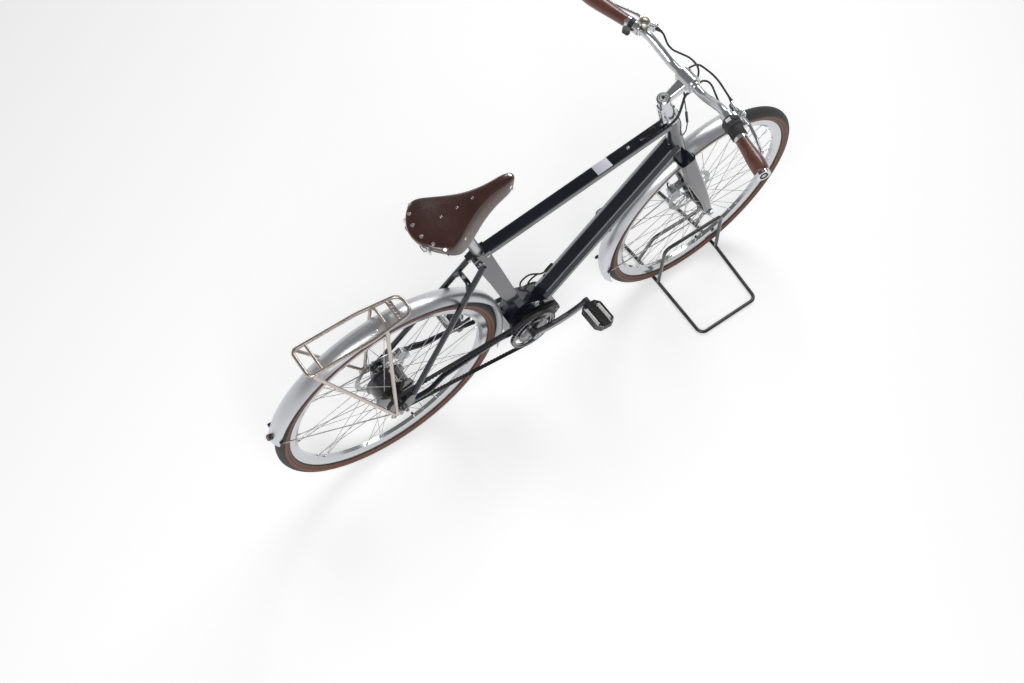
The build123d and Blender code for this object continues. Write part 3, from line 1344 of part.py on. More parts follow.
def frame_cables():
    """Two leads from a block on the down tube's left side to the drive unit, and the rear brake's hose."""
    side_y = DOWN_TUBE_WIDTH / 2 + SEAT_GAP
    foot, head = down_tube_line()
    along = (head - foot).normalized()
    under = Vector(along.Z, 0, -along.X)
    at = foot + along * 66 + under * DOWN_TUBE_DEPTH * 0.30
    block_plane = Plane(origin=Vector(at.X, side_y, at.Z), x_dir=along, z_dir=(0, 1, 0))
    block = block_plane * Box(34, 12, 7, align=(Align.CENTER, Align.CENTER, Align.MIN))
    made = fillet(block.edges().filter_by(lambda e: abs((e % 0.5).Y) > 0.99), 5)
    cover = Vector(BOTTOM_BRACKET_X + 50, 0, BOTTOM_BRACKET_Z - 4)
    for lift, drop_x, y in ((24, -12, 44), (10, 14, 38)):
        start = Vector(at.X - 10, side_y + 3.5, at.Z - 8)
        made += cord([
            start + along * 8,
            start - along * 14 + Vector(0, 3, 0),
            Vector(cover.X + drop_x + 14, y, cover.Z + 100 + lift),
            Vector(cover.X + drop_x - 14, y + 4, cover.Z + 78 + lift),
            Vector(cover.X + drop_x - 10, DRIVE_HALF_WIDTH + 5, cover.Z + DRIVE_COVER_RADIUS + 0.3),
        ], CABLE_RADIUS)
    return made


def rear_brake_hose():
    """From the drive unit's back along the left chainstay to the rear caliper."""
    x, z = BOTTOM_BRACKET_X, BOTTOM_BRACKET_Z
    side = CRADLE_HALF_WIDTH + CABLE_RADIUS + SEAT_GAP
    return cord([
        Vector(x - 34, side, z + 62),
        Vector(x - 60, side, z + 57),
        chainstay_point(0.758, 41, AXLE_Z - 0.40 * BRACKET_DROP + 12.5),
        chainstay_point(0.50, 51, AXLE_Z - 0.05 * BRACKET_DROP + 12.5),
        chainstay_point(0.309, 57.5, AXLE_Z + 17),
        Vector(REAR_X + 112, 60, AXLE_Z + 36),
        Vector(REAR_X + 87.5, 52, AXLE_Z + 42),
    ], CABLE_RADIUS)


def rear_light():
    """Small round lamp on the rear fender's tail."""
    turn = math.radians(REAR_FENDER_TO - 3)
    out = Vector(math.cos(turn), 0, math.sin(turn))
    at = Vector(REAR_X, 0, AXLE_Z) + out * (FENDER_RADIUS + 0.2)
    place = Plane(origin=at, x_dir=(0, 1, 0), z_dir=out)
    return place * Cylinder(9, 9, align=(Align.CENTER, Align.CENTER, Align.MIN))


FRONT_FLANGE_RADIUS = 24.0
FRONT_FLANGE_GAP = 27.0
REAR_FLANGE_RADIUS = 62.0
REAR_FLANGE_GAP = 27.0


def main():
    os.makedirs("parts", exist_ok=True)
    save("front_tyre", tyre(FRONT_X))
    save("rear_tyre", tyre(REAR_X))
    save("front_rim", rim(FRONT_X))
    save("rear_rim", rim(REAR_X))
    save("front_spokes", spokes(FRONT_X, FRONT_FLANGE_RADIUS, FRONT_FLANGE_GAP, 42))
    save("rear_spokes", spokes(REAR_X, REAR_FLANGE_RADIUS, REAR_FLANGE_GAP, 30))
    save("front_hub", hub(FRONT_X, FRONT_FLANGE_RADIUS, FRONT_FLANGE_GAP, 15, 12, FRONT_HUB_LENGTH))
    save("rear_hub", hub(REAR_X, REAR_FLANGE_RADIUS, REAR_FLANGE_GAP, 54, SPROCKET_HUB_RADIUS, REAR_HUB_LENGTH))
    save("front_brake_disc", brake_disc(FRONT_X, FRONT_DISC_Y, 12))
    save("rear_brake_disc", brake_disc(REAR_X, REAR_DISC_Y, SPROCKET_HUB_RADIUS))
    save("rear_sprocket", rear_sprocket())
    save("belt", belt())
    save("chainring", chainring())
    save("crank_arms", cranks())
    save("pedal_right", pedal(True))
    save("pedal_left", pedal(False))
    save("fork", fork())
    save("front_axle", front_axle())
    save("front_brake_caliper", front_caliper())
    save("front_fender", front_fender())
    save("front_fender_stays", fender_stays(FRONT_X, 188, FRONT_HUB_LENGTH / 2 + SEAT_GAP + FORK_END_THICKNESS, (-14, 8)))
    save("wheel_stand", wheel_stand())
    save("stem_body", stem_body())
    save("stem_extension", stem_extension())
    save("handlebar", handlebar())
    save("grip_left", grip(1))
    save("grip_right", grip(-1))
    save("grip_rings", grip_rings())
    save("twist_shifter", twist_shifter())
    save("brake_lever_left", brake_lever(1))
    save("brake_lever_right", brake_lever(-1))
    save("bell", bell())
    save("thumb_remote", thumb_remote())
    save("bar_cables", bar_cables())
    save("front_brake_hose", front_brake_hose())
    save("head_tube", head_tube())
    save("top_tube", top_tube())
    save("down_tube", down_tube())
    save("seat_tube", seat_tube())
    save("drive_cradle", drive_cradle())
    save("drive_motor", drive_motor())
    save("chainstays", chainstays())
    save("rear_ends", rear_ends())
    save("seatstays", seatstays())
    save("seat_clamp", seat_clamp())
    save("seat_post", seat_post())
    save("saddle_rails", saddle_rails())
    save("saddle", saddle())
    save("rear_fender", rear_fender())
    save("rear_fender_stays", fender_stays(REAR_X, 160, STAY_END_Y + STAY_END_THICKNESS / 2, (-9.5, -12.5)))
    save("rear_light", rear_light())
    save("rear_rack", rear_rack())
    save("rear_axle", rear_axle())
    save("rear_brake_caliper", rear_caliper())
    save("frame_cables", frame_cables())
    save("rear_brake_hose", rear_brake_hose())


main()
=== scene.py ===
import bpy
import json
import math
from mathutils import Vector, Matrix


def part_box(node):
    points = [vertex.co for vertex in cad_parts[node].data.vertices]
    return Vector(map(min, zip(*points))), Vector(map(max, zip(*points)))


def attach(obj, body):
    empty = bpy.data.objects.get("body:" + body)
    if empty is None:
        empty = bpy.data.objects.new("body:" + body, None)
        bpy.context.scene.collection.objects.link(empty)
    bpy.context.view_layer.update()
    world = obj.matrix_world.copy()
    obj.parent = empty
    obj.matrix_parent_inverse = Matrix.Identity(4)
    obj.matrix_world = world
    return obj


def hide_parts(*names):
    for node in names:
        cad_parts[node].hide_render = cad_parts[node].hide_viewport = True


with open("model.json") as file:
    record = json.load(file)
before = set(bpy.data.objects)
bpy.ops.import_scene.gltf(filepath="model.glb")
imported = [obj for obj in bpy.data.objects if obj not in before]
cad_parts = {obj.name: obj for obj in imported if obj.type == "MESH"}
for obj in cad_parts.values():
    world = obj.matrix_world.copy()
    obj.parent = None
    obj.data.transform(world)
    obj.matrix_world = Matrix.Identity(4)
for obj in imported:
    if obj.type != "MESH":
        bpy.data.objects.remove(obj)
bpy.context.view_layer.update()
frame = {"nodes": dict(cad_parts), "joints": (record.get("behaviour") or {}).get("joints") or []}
nodes = frame["nodes"]


# ---- places read from the frame
def middleOf(name):
    low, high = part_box(name)
    return (low + high) / 2


frontAxle = middleOf("front_axle")
rearAxle = middleOf("rear_axle")
crankAxle = middleOf("chainring")
tyreRadius = (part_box("front_tyre")[1].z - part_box("front_tyre")[0].z) / 2
joints = {joint["name"]: joint for joint in frame["joints"]}
steerFoot = Vector(joints["steering"]["pos_m"])
steerUp = Vector(joints["steering"]["axis"])
left = Vector((0, 1, 0))
steerAhead = left.cross(steerUp)


# ---- material helpers
def newMaterial(name, roughness=0.4, metallic=0.0, coat=0.0, coatRoughness=0.03, specular=0.5):
    material = bpy.data.materials.new(name)
    material.use_nodes = True
    shader = material.node_tree.nodes["Principled BSDF"]
    shader.inputs["Roughness"].default_value = roughness
    shader.inputs["Metallic"].default_value = metallic
    shader.inputs["Coat Weight"].default_value = coat
    shader.inputs["Coat Roughness"].default_value = coatRoughness
    shader.inputs["Specular IOR Level"].default_value = specular
    return material, material.node_tree, shader


def objectPoint(tree, location=(0, 0, 0), rotation=(0, 0, 0), scale=(1, 1, 1)):
    coordinate = tree.nodes.new("ShaderNodeTexCoord")
    mapping = tree.nodes.new("ShaderNodeMapping")
    mapping.inputs["Location"].default_value = location
    mapping.inputs["Rotation"].default_value = rotation
    mapping.inputs["Scale"].default_value = scale
    tree.links.new(coordinate.outputs["Object"], mapping.inputs["Vector"])
    return mapping.outputs["Vector"]


def noise(tree, vector, scale, detail=3.0, roughness=0.5, distortion=0.0):
    node = tree.nodes.new("ShaderNodeTexNoise")
    node.inputs["Scale"].default_value = scale
    node.inputs["Detail"].default_value = detail
    node.inputs["Roughness"].default_value = roughness
    node.inputs["Distortion"].default_value = distortion
    tree.links.new(vector, node.inputs["Vector"])
    return node.outputs["Fac"]


def ramp(tree, value, stops):
    node = tree.nodes.new("ShaderNodeValToRGB")
    elements = node.color_ramp.elements
    elements[0].position, elements[0].color = stops[0][0], (*stops[0][1], 1)
    elements[1].position, elements[1].color = stops[-1][0], (*stops[-1][1], 1)
    for position, colour in stops[1:-1]:
        element = elements.new(position)
        element.color = (*colour, 1)
    tree.links.new(value, node.inputs["Fac"])
    return node.outputs["Color"]


def spread(tree, value, low, high, fromLow=0.3, fromHigh=0.7):
    node = tree.nodes.new("ShaderNodeMapRange")
    node.inputs["From Min"].default_value = fromLow
    node.inputs["From Max"].default_value = fromHigh
    node.inputs["To Min"].default_value = low
    node.inputs["To Max"].default_value = high
    tree.links.new(value, node.inputs["Value"])
    return node.outputs["Result"]


def mathNode(tree, operation, first, second=None):
    node = tree.nodes.new("ShaderNodeMath")
    node.operation = operation
    for socket, value in zip(node.inputs, (first, second)):
        if value is None:
            continue
        if isinstance(value, (int, float)):
            socket.default_value = value
        else:
            tree.links.new(value, socket)
    return node.outputs["Value"]


def mixColour(tree, factor, first, second, mode="MIX"):
    node = tree.nodes.new("ShaderNodeMix")
    node.data_type = "RGBA"
    node.blend_type = mode
    for name, value in (("Factor", factor), ("A", first), ("B", second)):
        socket = node.inputs[name]
        if isinstance(value, (int, float)):
            socket.default_value = value
        elif isinstance(value, tuple):
            socket.default_value = (*value, 1)
        else:
            tree.links.new(value, socket)
    return node.outputs["Result"]


def bump(tree, shader, height, strength, distance):
    node = tree.nodes.new("ShaderNodeBump")
    node.inputs["Strength"].default_value = strength
    node.inputs["Distance"].default_value = distance
    tree.links.new(height, node.inputs["Height"])
    tree.links.new(node.outputs["Normal"], shader.inputs["Normal"])
    return node


def wheelCoordinates(tree, axle):
    # distance from the axle, place across the wheel and turn about the axle
    point = objectPoint(tree, location=(-axle.x, 0, -axle.z))
    split = tree.nodes.new("ShaderNodeSeparateXYZ")
    tree.links.new(point, split.inputs["Vector"])
    x, y, z = split.outputs
    flat = tree.nodes.new("ShaderNodeCombineXYZ")
    tree.links.new(x, flat.inputs["X"])
    tree.links.new(z, flat.inputs["Y"])
    length = tree.nodes.new("ShaderNodeVectorMath")
    length.operation = "LENGTH"
    tree.links.new(flat.outputs["Vector"], length.inputs[0])
    turn = mathNode(tree, "ARCTAN2", z, x)
    return length.outputs["Value"], y, turn


# ---- finishes
def paintedMetal(name, dark, light, roughness=0.22, flake=0.25):
    material, tree, shader = newMaterial(name, roughness, flake, coat=1.0, coatRoughness=0.04, specular=0.35)
    point = objectPoint(tree)
    cloud = noise(tree, point, 9.0, 4.0)
    fine = noise(tree, point, 900.0, 2.0)
    colour = ramp(tree, cloud, [(0.3, dark), (0.7, light)])
    shade = ramp(tree, fine, [(0.35, (0.8, 0.8, 0.8)), (0.65, (1.0, 1.0, 1.0))])
    tree.links.new(mixColour(tree, 0.6, colour, shade, "MULTIPLY"), shader.inputs["Base Color"])
    tree.links.new(spread(tree, cloud, roughness - 0.04, roughness + 0.06), shader.inputs["Roughness"])
    bump(tree, shader, noise(tree, point, 60.0, 2.0), 0.02, 0.0004)
    return material


def metal(name, colour, roughness, variation=0.04, grainScale=160.0, bumpStrength=0.004):
    material, tree, shader = newMaterial(name, roughness, 0.86)
    cloud = noise(tree, objectPoint(tree), 8.0, 2.0, 0.5)
    brushed = noise(tree, objectPoint(tree), grainScale, 2.0, 0.5)
    low = tuple(c * (1 - variation) for c in colour)
    high = tuple(min(1.0, c * (1 + variation)) for c in colour)
    tree.links.new(ramp(tree, cloud, [(0.3, low), (0.7, high)]), shader.inputs["Base Color"])
    uneven = spread(tree, cloud, -0.03, 0.04)
    grain = spread(tree, brushed, roughness * 0.92, roughness * 1.08)
    rough = mathNode(tree, "ADD", uneven, grain)
    tree.links.new(rough, shader.inputs["Roughness"])
    bump(tree, shader, brushed, bumpStrength, 0.0003)
    return material


def plastic(name, colour, roughness=0.5, coat=0.0, grain=700.0, bumpStrength=0.12):
    material, tree, shader = newMaterial(name, roughness, coat=coat)
    point = objectPoint(tree)
    cloud = noise(tree, point, 12.0, 4.0)
    low = tuple(c * 0.75 for c in colour)
    high = tuple(c * 1.3 + 0.002 for c in colour)
    tree.links.new(ramp(tree, cloud, [(0.3, low), (0.7, high)]), shader.inputs["Base Color"])
    tree.links.new(spread(tree, cloud, roughness - 0.07, roughness + 0.08), shader.inputs["Roughness"])
    bump(tree, shader, noise(tree, point, grain, 2.0), bumpStrength, 0.0003)
    return material


def leather(name, dark, middle, light, roughness, poreScale=420.0):
    material, tree, shader = newMaterial(name, roughness, coat=1.0, coatRoughness=0.13)
    point = objectPoint(tree)
    cloud = noise(tree, point, 11.0, 6.0, 0.62, 0.4)
    pores = tree.nodes.new("ShaderNodeTexVoronoi")
    pores.feature = "DISTANCE_TO_EDGE"
    pores.inputs["Scale"].default_value = poreScale
    tree.links.new(point, pores.inputs["Vector"])
    creases = noise(tree, point, 70.0, 5.0, 0.6, 0.6)
    colour = ramp(tree, cloud, [(0.25, dark), (0.5, middle), (0.78, light)])
    crease = ramp(tree, creases, [(0.35, (0.62, 0.55, 0.5)), (0.6, (1.0, 1.0, 1.0))])
    tree.links.new(mixColour(tree, 0.7, colour, crease, "MULTIPLY"), shader.inputs["Base Color"])
    tree.links.new(spread(tree, creases, roughness + 0.1, roughness - 0.06), shader.inputs["Roughness"])
    height = mathNode(tree, "ADD", mathNode(tree, "MULTIPLY", pores.outputs["Distance"], 0.6), creases)
    bump(tree, shader, height, 0.28, 0.0006)
    return material


def tyreRubber(name, axle):
    material, tree, shader = newMaterial(name, 0.62)
    radius, across, turn = wheelCoordinates(tree, axle)
    point = objectPoint(tree)
    cloud = noise(tree, point, 40.0, 4.0)
    wall = ramp(tree, cloud, [(0.3, (0.16, 0.066, 0.042)), (0.7, (0.23, 0.1, 0.065))])
    rubber = ramp(tree, cloud, [(0.3, (0.018, 0.018, 0.019)), (0.7, (0.04, 0.04, 0.042))])
    wobble = mathNode(tree, "MULTIPLY", mathNode(tree, "SUBTRACT", cloud, 0.5), 0.0015)
    reach = mathNode(tree, "ADD", radius, wobble)
    tread = spread(tree, reach, 0.0, 1.0, tyreRadius - 0.0170, tyreRadius - 0.0160)
    bead = spread(tree, reach, 1.0, 0.0, tyreRadius - 0.0335, tyreRadius - 0.0325)
    inner = spread(tree, reach, 0.0, 1.0, tyreRadius - 0.0268, tyreRadius - 0.0262)
    outer = spread(tree, reach, 1.0, 0.0, tyreRadius - 0.0248, tyreRadius - 0.0242)
    line = mathNode(tree, "MINIMUM", inner, outer)
    dark = mathNode(tree, "MAXIMUM", mathNode(tree, "MAXIMUM", tread, bead), line)
    tree.links.new(mixColour(tree, dark, wall, rubber), shader.inputs["Base Color"])
    tree.links.new(spread(tree, cloud, 0.55, 0.72), shader.inputs["Roughness"])
    # diamond tread: two sets of slanting grooves round the crown
    length = mathNode(tree, "MULTIPLY", turn, tyreRadius)
    first = mathNode(tree, "ADD", length, across)
    second = mathNode(tree, "SUBTRACT", length, across)
    grooves = []
    for path in (first, second):
        wave = mathNode(tree, "SINE", mathNode(tree, "MULTIPLY", path, 2 * math.pi / 0.006))
        grooves.append(spread(tree, wave, 0.0, 1.0, 0.5, 0.9))
    pattern = mathNode(tree, "MULTIPLY", mathNode(tree, "MAXIMUM", *grooves), tread)
    height = mathNode(tree, "SUBTRACT", mathNode(tree, "MULTIPLY", noise(tree, point, 500.0), 0.3), pattern)
    bump(tree, shader, height, 0.5, 0.0008)
    return material


def pedalTwoTone(name, joint, tilt):
    # black body along the pin, dark grey cage round it
    material, tree, shader = newMaterial(name, 0.3)
    back = Matrix.Rotation(-tilt, 3, "Y") @ (-joint)
    point = objectPoint(tree, location=back, rotation=(0, -tilt, 0))
    split = tree.nodes.new("ShaderNodeSeparateXYZ")
    tree.links.new(point, split.inputs["Vector"])
    cage = spread(tree, mathNode(tree, "ABSOLUTE", split.outputs["X"]), 0.0, 1.0, 0.0152, 0.0156)
    cloud = noise(tree, objectPoint(tree), 30.0, 3.0)
    black = ramp(tree, cloud, [(0.3, (0.014, 0.014, 0.015)), (0.7, (0.028, 0.028, 0.029))])
    grey = ramp(tree, cloud, [(0.3, (0.085, 0.085, 0.09)), (0.7, (0.12, 0.12, 0.13))])
    tree.links.new(mixColour(tree, cage, black, grey), shader.inputs["Base Color"])
    tree.links.new(mathNode(tree, "MULTIPLY", cage, 0.86), shader.inputs["Metallic"])
    tree.links.new(spread(tree, cage, 0.5, 0.2, 0.0, 1.0), shader.inputs["Roughness"])
    bump(tree, shader, noise(tree, objectPoint(tree), 500.0), 0.05, 0.0003)
    return material


pedalTilt = math.radians(12)
finish = {
    "pedalRight": pedalTwoTone("right pedal", Vector(joints["pedal_right_spin"]["pos_m"]), pedalTilt),
    "pedalLeft": pedalTwoTone("left pedal", Vector(joints["pedal_left_spin"]["pos_m"]), pedalTilt),
    "framePaint": paintedMetal("frame paint", (0.006, 0.0065, 0.014), (0.010, 0.011, 0.023), 0.2, 0.2),
    # a lighter metal than the frame paint, for the strips along the down tube's top edges: a painted
    # highlight standing in for the bright reflection line on the tube's bevels
    "edgeGlint": metal("painted edge highlight", (0.30, 0.31, 0.37), 0.16),
    "capSatin": metal("turned cap", (0.72, 0.73, 0.75), 0.42),
    "blackPaint": paintedMetal("black enamel", (0.010, 0.010, 0.011), (0.022, 0.022, 0.024), 0.3, 0.0),
    "polished": metal("polished alloy", (0.60, 0.61, 0.635), 0.17),
    "satin": metal("satin alloy", (0.50, 0.51, 0.525), 0.3),
    "bellBrass": metal("champagne brass", (0.40, 0.35, 0.245), 0.3),
    "driveCase": paintedMetal("drive casing", (0.012, 0.012, 0.013), (0.026, 0.026, 0.028), 0.4, 0.1),
    "blackGloss": paintedMetal("black inlay", (0.004, 0.004, 0.005), (0.008, 0.008, 0.010), 0.3, 0.0),
    "sticker": plastic("blank sticker", (0.62, 0.61, 0.70), 0.3, 0.3, 300.0, 0.02),
    "whiteWindow": plastic("white window", (0.72, 0.72, 0.70), 0.18, 0.6, 300.0, 0.02),
    "pedalRubber": plastic("pedal rubber", (0.020, 0.020, 0.021), 0.6, 0.0, 600.0, 0.2),
    "chrome": metal("chrome", (0.70, 0.70, 0.72), 0.07, variation=0.02),
    "wire": metal("stainless wire", (0.52, 0.52, 0.52), 0.2),
    "rackSteel": metal("stainless rack tube", (0.56, 0.50, 0.45), 0.25),
    "hubBlack": paintedMetal("black hub shell", (0.02, 0.02, 0.022), (0.045, 0.045, 0.05), 0.16, 0.3),
    "crankGrey": paintedMetal("anodised crank", (0.045, 0.045, 0.05), (0.08, 0.08, 0.088), 0.3, 0.6),
    "blackPlastic": plastic("black plastic", (0.022, 0.022, 0.023), 0.48),
    "beltRubber": plastic("belt rubber", (0.018, 0.018, 0.018), 0.55),
    "hose": plastic("hose", (0.016, 0.016, 0.017), 0.38, grain=300.0, bumpStrength=0.05),
    "standPaint": paintedMetal("stand enamel", (0.014, 0.014, 0.015), (0.03, 0.03, 0.032), 0.36, 0.0),
    "saddleLeather": leather("saddle leather", (0.026, 0.0075, 0.006), (0.050, 0.0135, 0.010),
                             (0.085, 0.022, 0.015), 0.26),
    "gripLeather": leather("grip leather", (0.085, 0.022, 0.014), (0.135, 0.034, 0.021),
                           (0.19, 0.055, 0.033), 0.42),
    "thread": plastic("waxed thread", (0.30, 0.17, 0.10), 0.6, 0.0, 900.0, 0.2),
    "frontTyre": tyreRubber("front tyre rubber", frontAxle),
    "rearTyre": tyreRubber("rear tyre rubber", rearAxle),
    "darkLens": plastic("dark lens", (0.03, 0.012, 0.012), 0.15, 0.5, 300.0, 0.05),
    "fenderSatin": metal("rolled fender sheet", (0.66, 0.67, 0.705), 0.34, 0.03, 40.0, 0.002),
}

nodeFinish = {
    "front_tyre": "frontTyre", "rear_tyre": "rearTyre",
    "front_rim": "polished", "rear_rim": "polished",
    "front_spokes": "wire", "rear_spokes": "wire",
    "front_hub": "hubBlack", "rear_hub": "hubBlack",
    "front_brake_disc": "satin", "rear_brake_disc": "satin",
    "rear_sprocket": "crankGrey", "belt": "beltRubber", "chainring": "crankGrey", "crank_arms": "crankGrey",
    "pedal_right": "pedalRight", "pedal_left": "pedalLeft",
    "fork": "framePaint", "front_axle": "satin", "front_brake_caliper": "satin",
    "front_fender": "fenderSatin", "front_fender_stays": "wire", "wheel_stand": "standPaint",
    "stem_body": "polished", "stem_extension": "polished", "handlebar": "polished",
    "grip_left": "gripLeather", "grip_right": "gripLeather", "grip_rings": "chrome",
    "twist_shifter": "blackPlastic", "brake_lever_left": "polished", "brake_lever_right": "polished",
    "bell": "chrome", "thumb_remote": "blackPlastic", "bar_cables": "hose", "front_brake_hose": "hose",
    "head_tube": "framePaint", "top_tube": "framePaint", "down_tube": "framePaint", "seat_tube": "framePaint",
    "drive_cradle": "framePaint", "drive_motor": "blackPlastic", "chainstays": "framePaint",
    "rear_ends": "framePaint", "seatstays": "framePaint", "seat_clamp": "blackPaint", "seat_post": "satin",
    "saddle_rails": "chrome", "saddle": "saddleLeather", "rear_fender": "fenderSatin",
    "rear_fender_stays": "wire", "rear_light": "darkLens", "rear_rack": "rackSteel", "rear_axle": "satin",
    "rear_brake_caliper": "satin", "frame_cables": "hose", "rear_brake_hose": "hose",
}


def dressNode(node, material):
    node.data.materials.clear()
    node.data.materials.append(material)


for name, node in nodes.items():
    dressNode(node, finish[nodeFinish[name]])
print("cad nodes dressed:", len(nodes))


# ---- making helpers
def freeHands():
    bpy.ops.object.select_all(action="DESELECT")


def along(name, origin, axis):
    # how far a node reaches along an axis, lowest and highest
    reach = [(vertex.co - origin).dot(axis) for vertex in nodes[name].data.vertices]
    return min(reach), max(reach)


def standing(place, up, ahead=(1, 0, 0)):
    # a frame at a place, its Z up and its X as near ahead as it can be
    z = Vector(up).normalized()
    x = Vector(ahead) - z * z.dot(Vector(ahead))
    if x.length < 0.01:
        x = z.orthogonal()
    x.normalize()
    return Matrix.Translation(place) @ Matrix((x, z.cross(x), z)).transposed().to_4x4()


def pickFaces(item, test):
    bpy.ops.object.mode_set(mode="EDIT")
    bpy.ops.mesh.select_mode(type="FACE")
    bpy.ops.mesh.select_all(action="DESELECT")
    bpy.ops.object.mode_set(mode="OBJECT")
    for face in item.data.polygons:
        face.select = test(face)
    bpy.ops.object.mode_set(mode="EDIT")


def topFace(face):
    return face.normal.z > 0.9


def workFace(steps):
    # insets the picked face and moves it out or in, step by step
    for kind, amount in steps:
        if kind == "inset":
            bpy.ops.mesh.inset(thickness=amount)
        else:
            bpy.ops.mesh.extrude_region_move(TRANSFORM_OT_translate={"value": (0, 0, amount)})
    bpy.ops.object.mode_set(mode="OBJECT")


def roundEdges(item, width, segments=2):
    modifier = item.modifiers.new("edges", "BEVEL")
    modifier.width = width
    modifier.segments = segments
    modifier.limit_method = "ANGLE"
    bpy.ops.object.modifier_apply(modifier=modifier.name)
    bpy.ops.object.shade_smooth_by_angle(angle=math.radians(40))


def settle(item, name, material, body):
    freeHands()
    item.select_set(True)
    bpy.context.view_layer.objects.active = item
    bpy.ops.object.transform_apply(location=True, rotation=True, scale=True)
    item.name = item.data.name = name
    dressNode(item, finish[material])
    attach(item, body)
    return item


def repeat(pattern, name, spots, material, body):
    # one copy of the pattern at each spot, every copy with its own mesh, joined into one piece
    made = []
    for spot in spots:
        item = pattern.copy()
        item.data = pattern.data.copy()
        bpy.context.scene.collection.objects.link(item)
        item.matrix_world = standing(*spot)
        made.append(item)
    bpy.data.objects.remove(pattern)
    freeHands()
    for item in made:
        item.select_set(True)
    bpy.context.view_layer.objects.active = made[0]
    if len(made) > 1:
        bpy.ops.object.join()
    return settle(made[0], name, material, body)


def turned(name, spots, radius, length, steps, material, body, sides=32, edge=0.0003):
    # round pieces worked on their upper face: bolts, caps, rivets, rings
    freeHands()
    bpy.ops.mesh.primitive_cylinder_add(vertices=sides, radius=radius, depth=length,
                                        location=(0, 0, length / 2))
    item = bpy.context.object
    bpy.ops.object.transform_apply(location=True)
    pickFaces(item, topFace)
    workFace(steps)
    roundEdges(item, edge)
    return repeat(item, name, spots, material, body)


def dish(width, depth):
    # steps that set a face in by a width, then raise it by a depth, or sink it where depth is below zero
    return [("inset", width), ("push", depth)]


def slabs(name, spots, size, steps, material, body, edge=0.0008, segments=3):
    # flat pieces worked on their upper face, standing on their lower one
    freeHands()
    bpy.ops.mesh.primitive_cube_add(size=1, location=(0, 0, size[2] / 2), scale=size)
    item = bpy.context.object
    bpy.ops.object.transform_apply(location=True, scale=True)
    pickFaces(item, topFace)
    workFace(steps)
    roundEdges(item, edge, segments)
    return repeat(item, name, spots, material, body)


def bentWire(name, routes, radius, material, body, closed=False):
    curve = bpy.data.curves.new(name, "CURVE")
    curve.dimensions = "3D"
    curve.bevel_depth = radius
    curve.bevel_resolution = 4
    curve.use_fill_caps = not closed
    for route in routes:
        spline = curve.splines.new("NURBS")
        spline.points.add(len(route) - 1)
        for point, place in zip(spline.points, route):
            point.co = (*place, 1)
        spline.order_u = 3
        spline.use_endpoint_u = not closed
        spline.use_cyclic_u = closed
    item = bpy.data.objects.new(name, curve)
    bpy.context.scene.collection.objects.link(item)
    freeHands()
    item.select_set(True)
    bpy.context.view_layer.objects.active = item
    bpy.ops.object.convert(target="MESH")
    bpy.ops.object.shade_smooth()
    return settle(bpy.context.object, name, material, body)


def lofted(sections, sides=32):
    # a closed tube grown upwards from a disc: (height, half across X, half across Y, shift in X, shift in Y)
    freeHands()
    bpy.ops.mesh.primitive_circle_add(vertices=sides, radius=1, fill_type="NGON", location=(0, 0, 0))
    item = bpy.context.object
    bpy.ops.object.mode_set(mode="EDIT")
    bpy.ops.mesh.select_all(action="SELECT")
    height, halfX, halfY, shiftX, shiftY = sections[0]
    bpy.ops.transform.resize(value=(halfX, halfY, 1), center_override=(0, 0, 0))
    bpy.ops.transform.translate(value=(shiftX, shiftY, height))
    for last, section in zip(sections, sections[1:]):
        step = (section[3] - last[3], section[4] - last[4], section[0] - last[0])
        bpy.ops.mesh.extrude_region_move(TRANSFORM_OT_translate={"value": step})
        grow = (section[1] / last[1], section[2] / last[2], 1)
        bpy.ops.transform.resize(value=grow, center_override=(section[3], section[4], section[0]))
    bpy.ops.mesh.select_all(action="SELECT")
    bpy.ops.mesh.normals_make_consistent(inside=False)
    bpy.ops.object.mode_set(mode="OBJECT")
    return item


def smoothOut(item, levels):
    modifier = item.modifiers.new("smooth", "SUBSURF")
    modifier.levels = modifier.render_levels = levels
    bpy.ops.object.modifier_apply(modifier=modifier.name)
    bpy.ops.object.shade_smooth()


# ---- saddle
saddleLow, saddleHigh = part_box("saddle")
saddle = {
    "back": saddleLow.x - 0.009, "length": saddleHigh.x - saddleLow.x + 0.018, "half": 0.085,
    "top": saddleHigh.z, "wall": 0.0040, "backRound": 0.046, "noseRound": 0.012, "crownFall": 0.0075,
    "rivet": 0.0046, "eyelet": 0.0032, "ridge": 0.70,
    # place along, half width of the crown, rise, depth of the skirt, flare of the skirt
    "stations": [(0.0, 0.86, -0.017, 0.024, 0.05), (0.06, 0.90, -0.0145, 0.030, 0.07),
                 (0.17, 0.91, -0.013, 0.040, 0.09), (0.31, 0.80, -0.014, 0.050, 0.16),
                 (0.45, 0.54, -0.0125, 0.052, 0.22), (0.60, 0.31, -0.009, 0.050, 0.19),
                 (0.78, 0.19, -0.003, 0.046, 0.12), (0.93, 0.18, 0.0, 0.042, 0.07),
                 (1.0, 0.13, -0.003, 0.034, 0.05)],
    # place along and depth of the edge, row by row
    "rows": [(0.02, 0.026), (0.004, 0.012), (0.0, 0.004), (0.012, 0.0004), (0.05, 0), (0.10, 0), (0.17, 0),
             (0.25, 0), (0.33, 0), (0.41, 0), (0.49, 0), (0.58, 0), (0.68, 0), (0.78, 0), (0.87, 0),
             (0.94, 0), (0.985, 0.0006), (1.0, 0.005), (1.0, 0.016), (0.985, 0.034)],
    "columns": 26,
    "bagLoop": [(0.004, -0.012, 0.006), (-0.006, -0.012, 0.0), (-0.006, 0.0, -0.001), (-0.006, 0.012, 0.0),
                (0.004, 0.012, 0.006)],
}


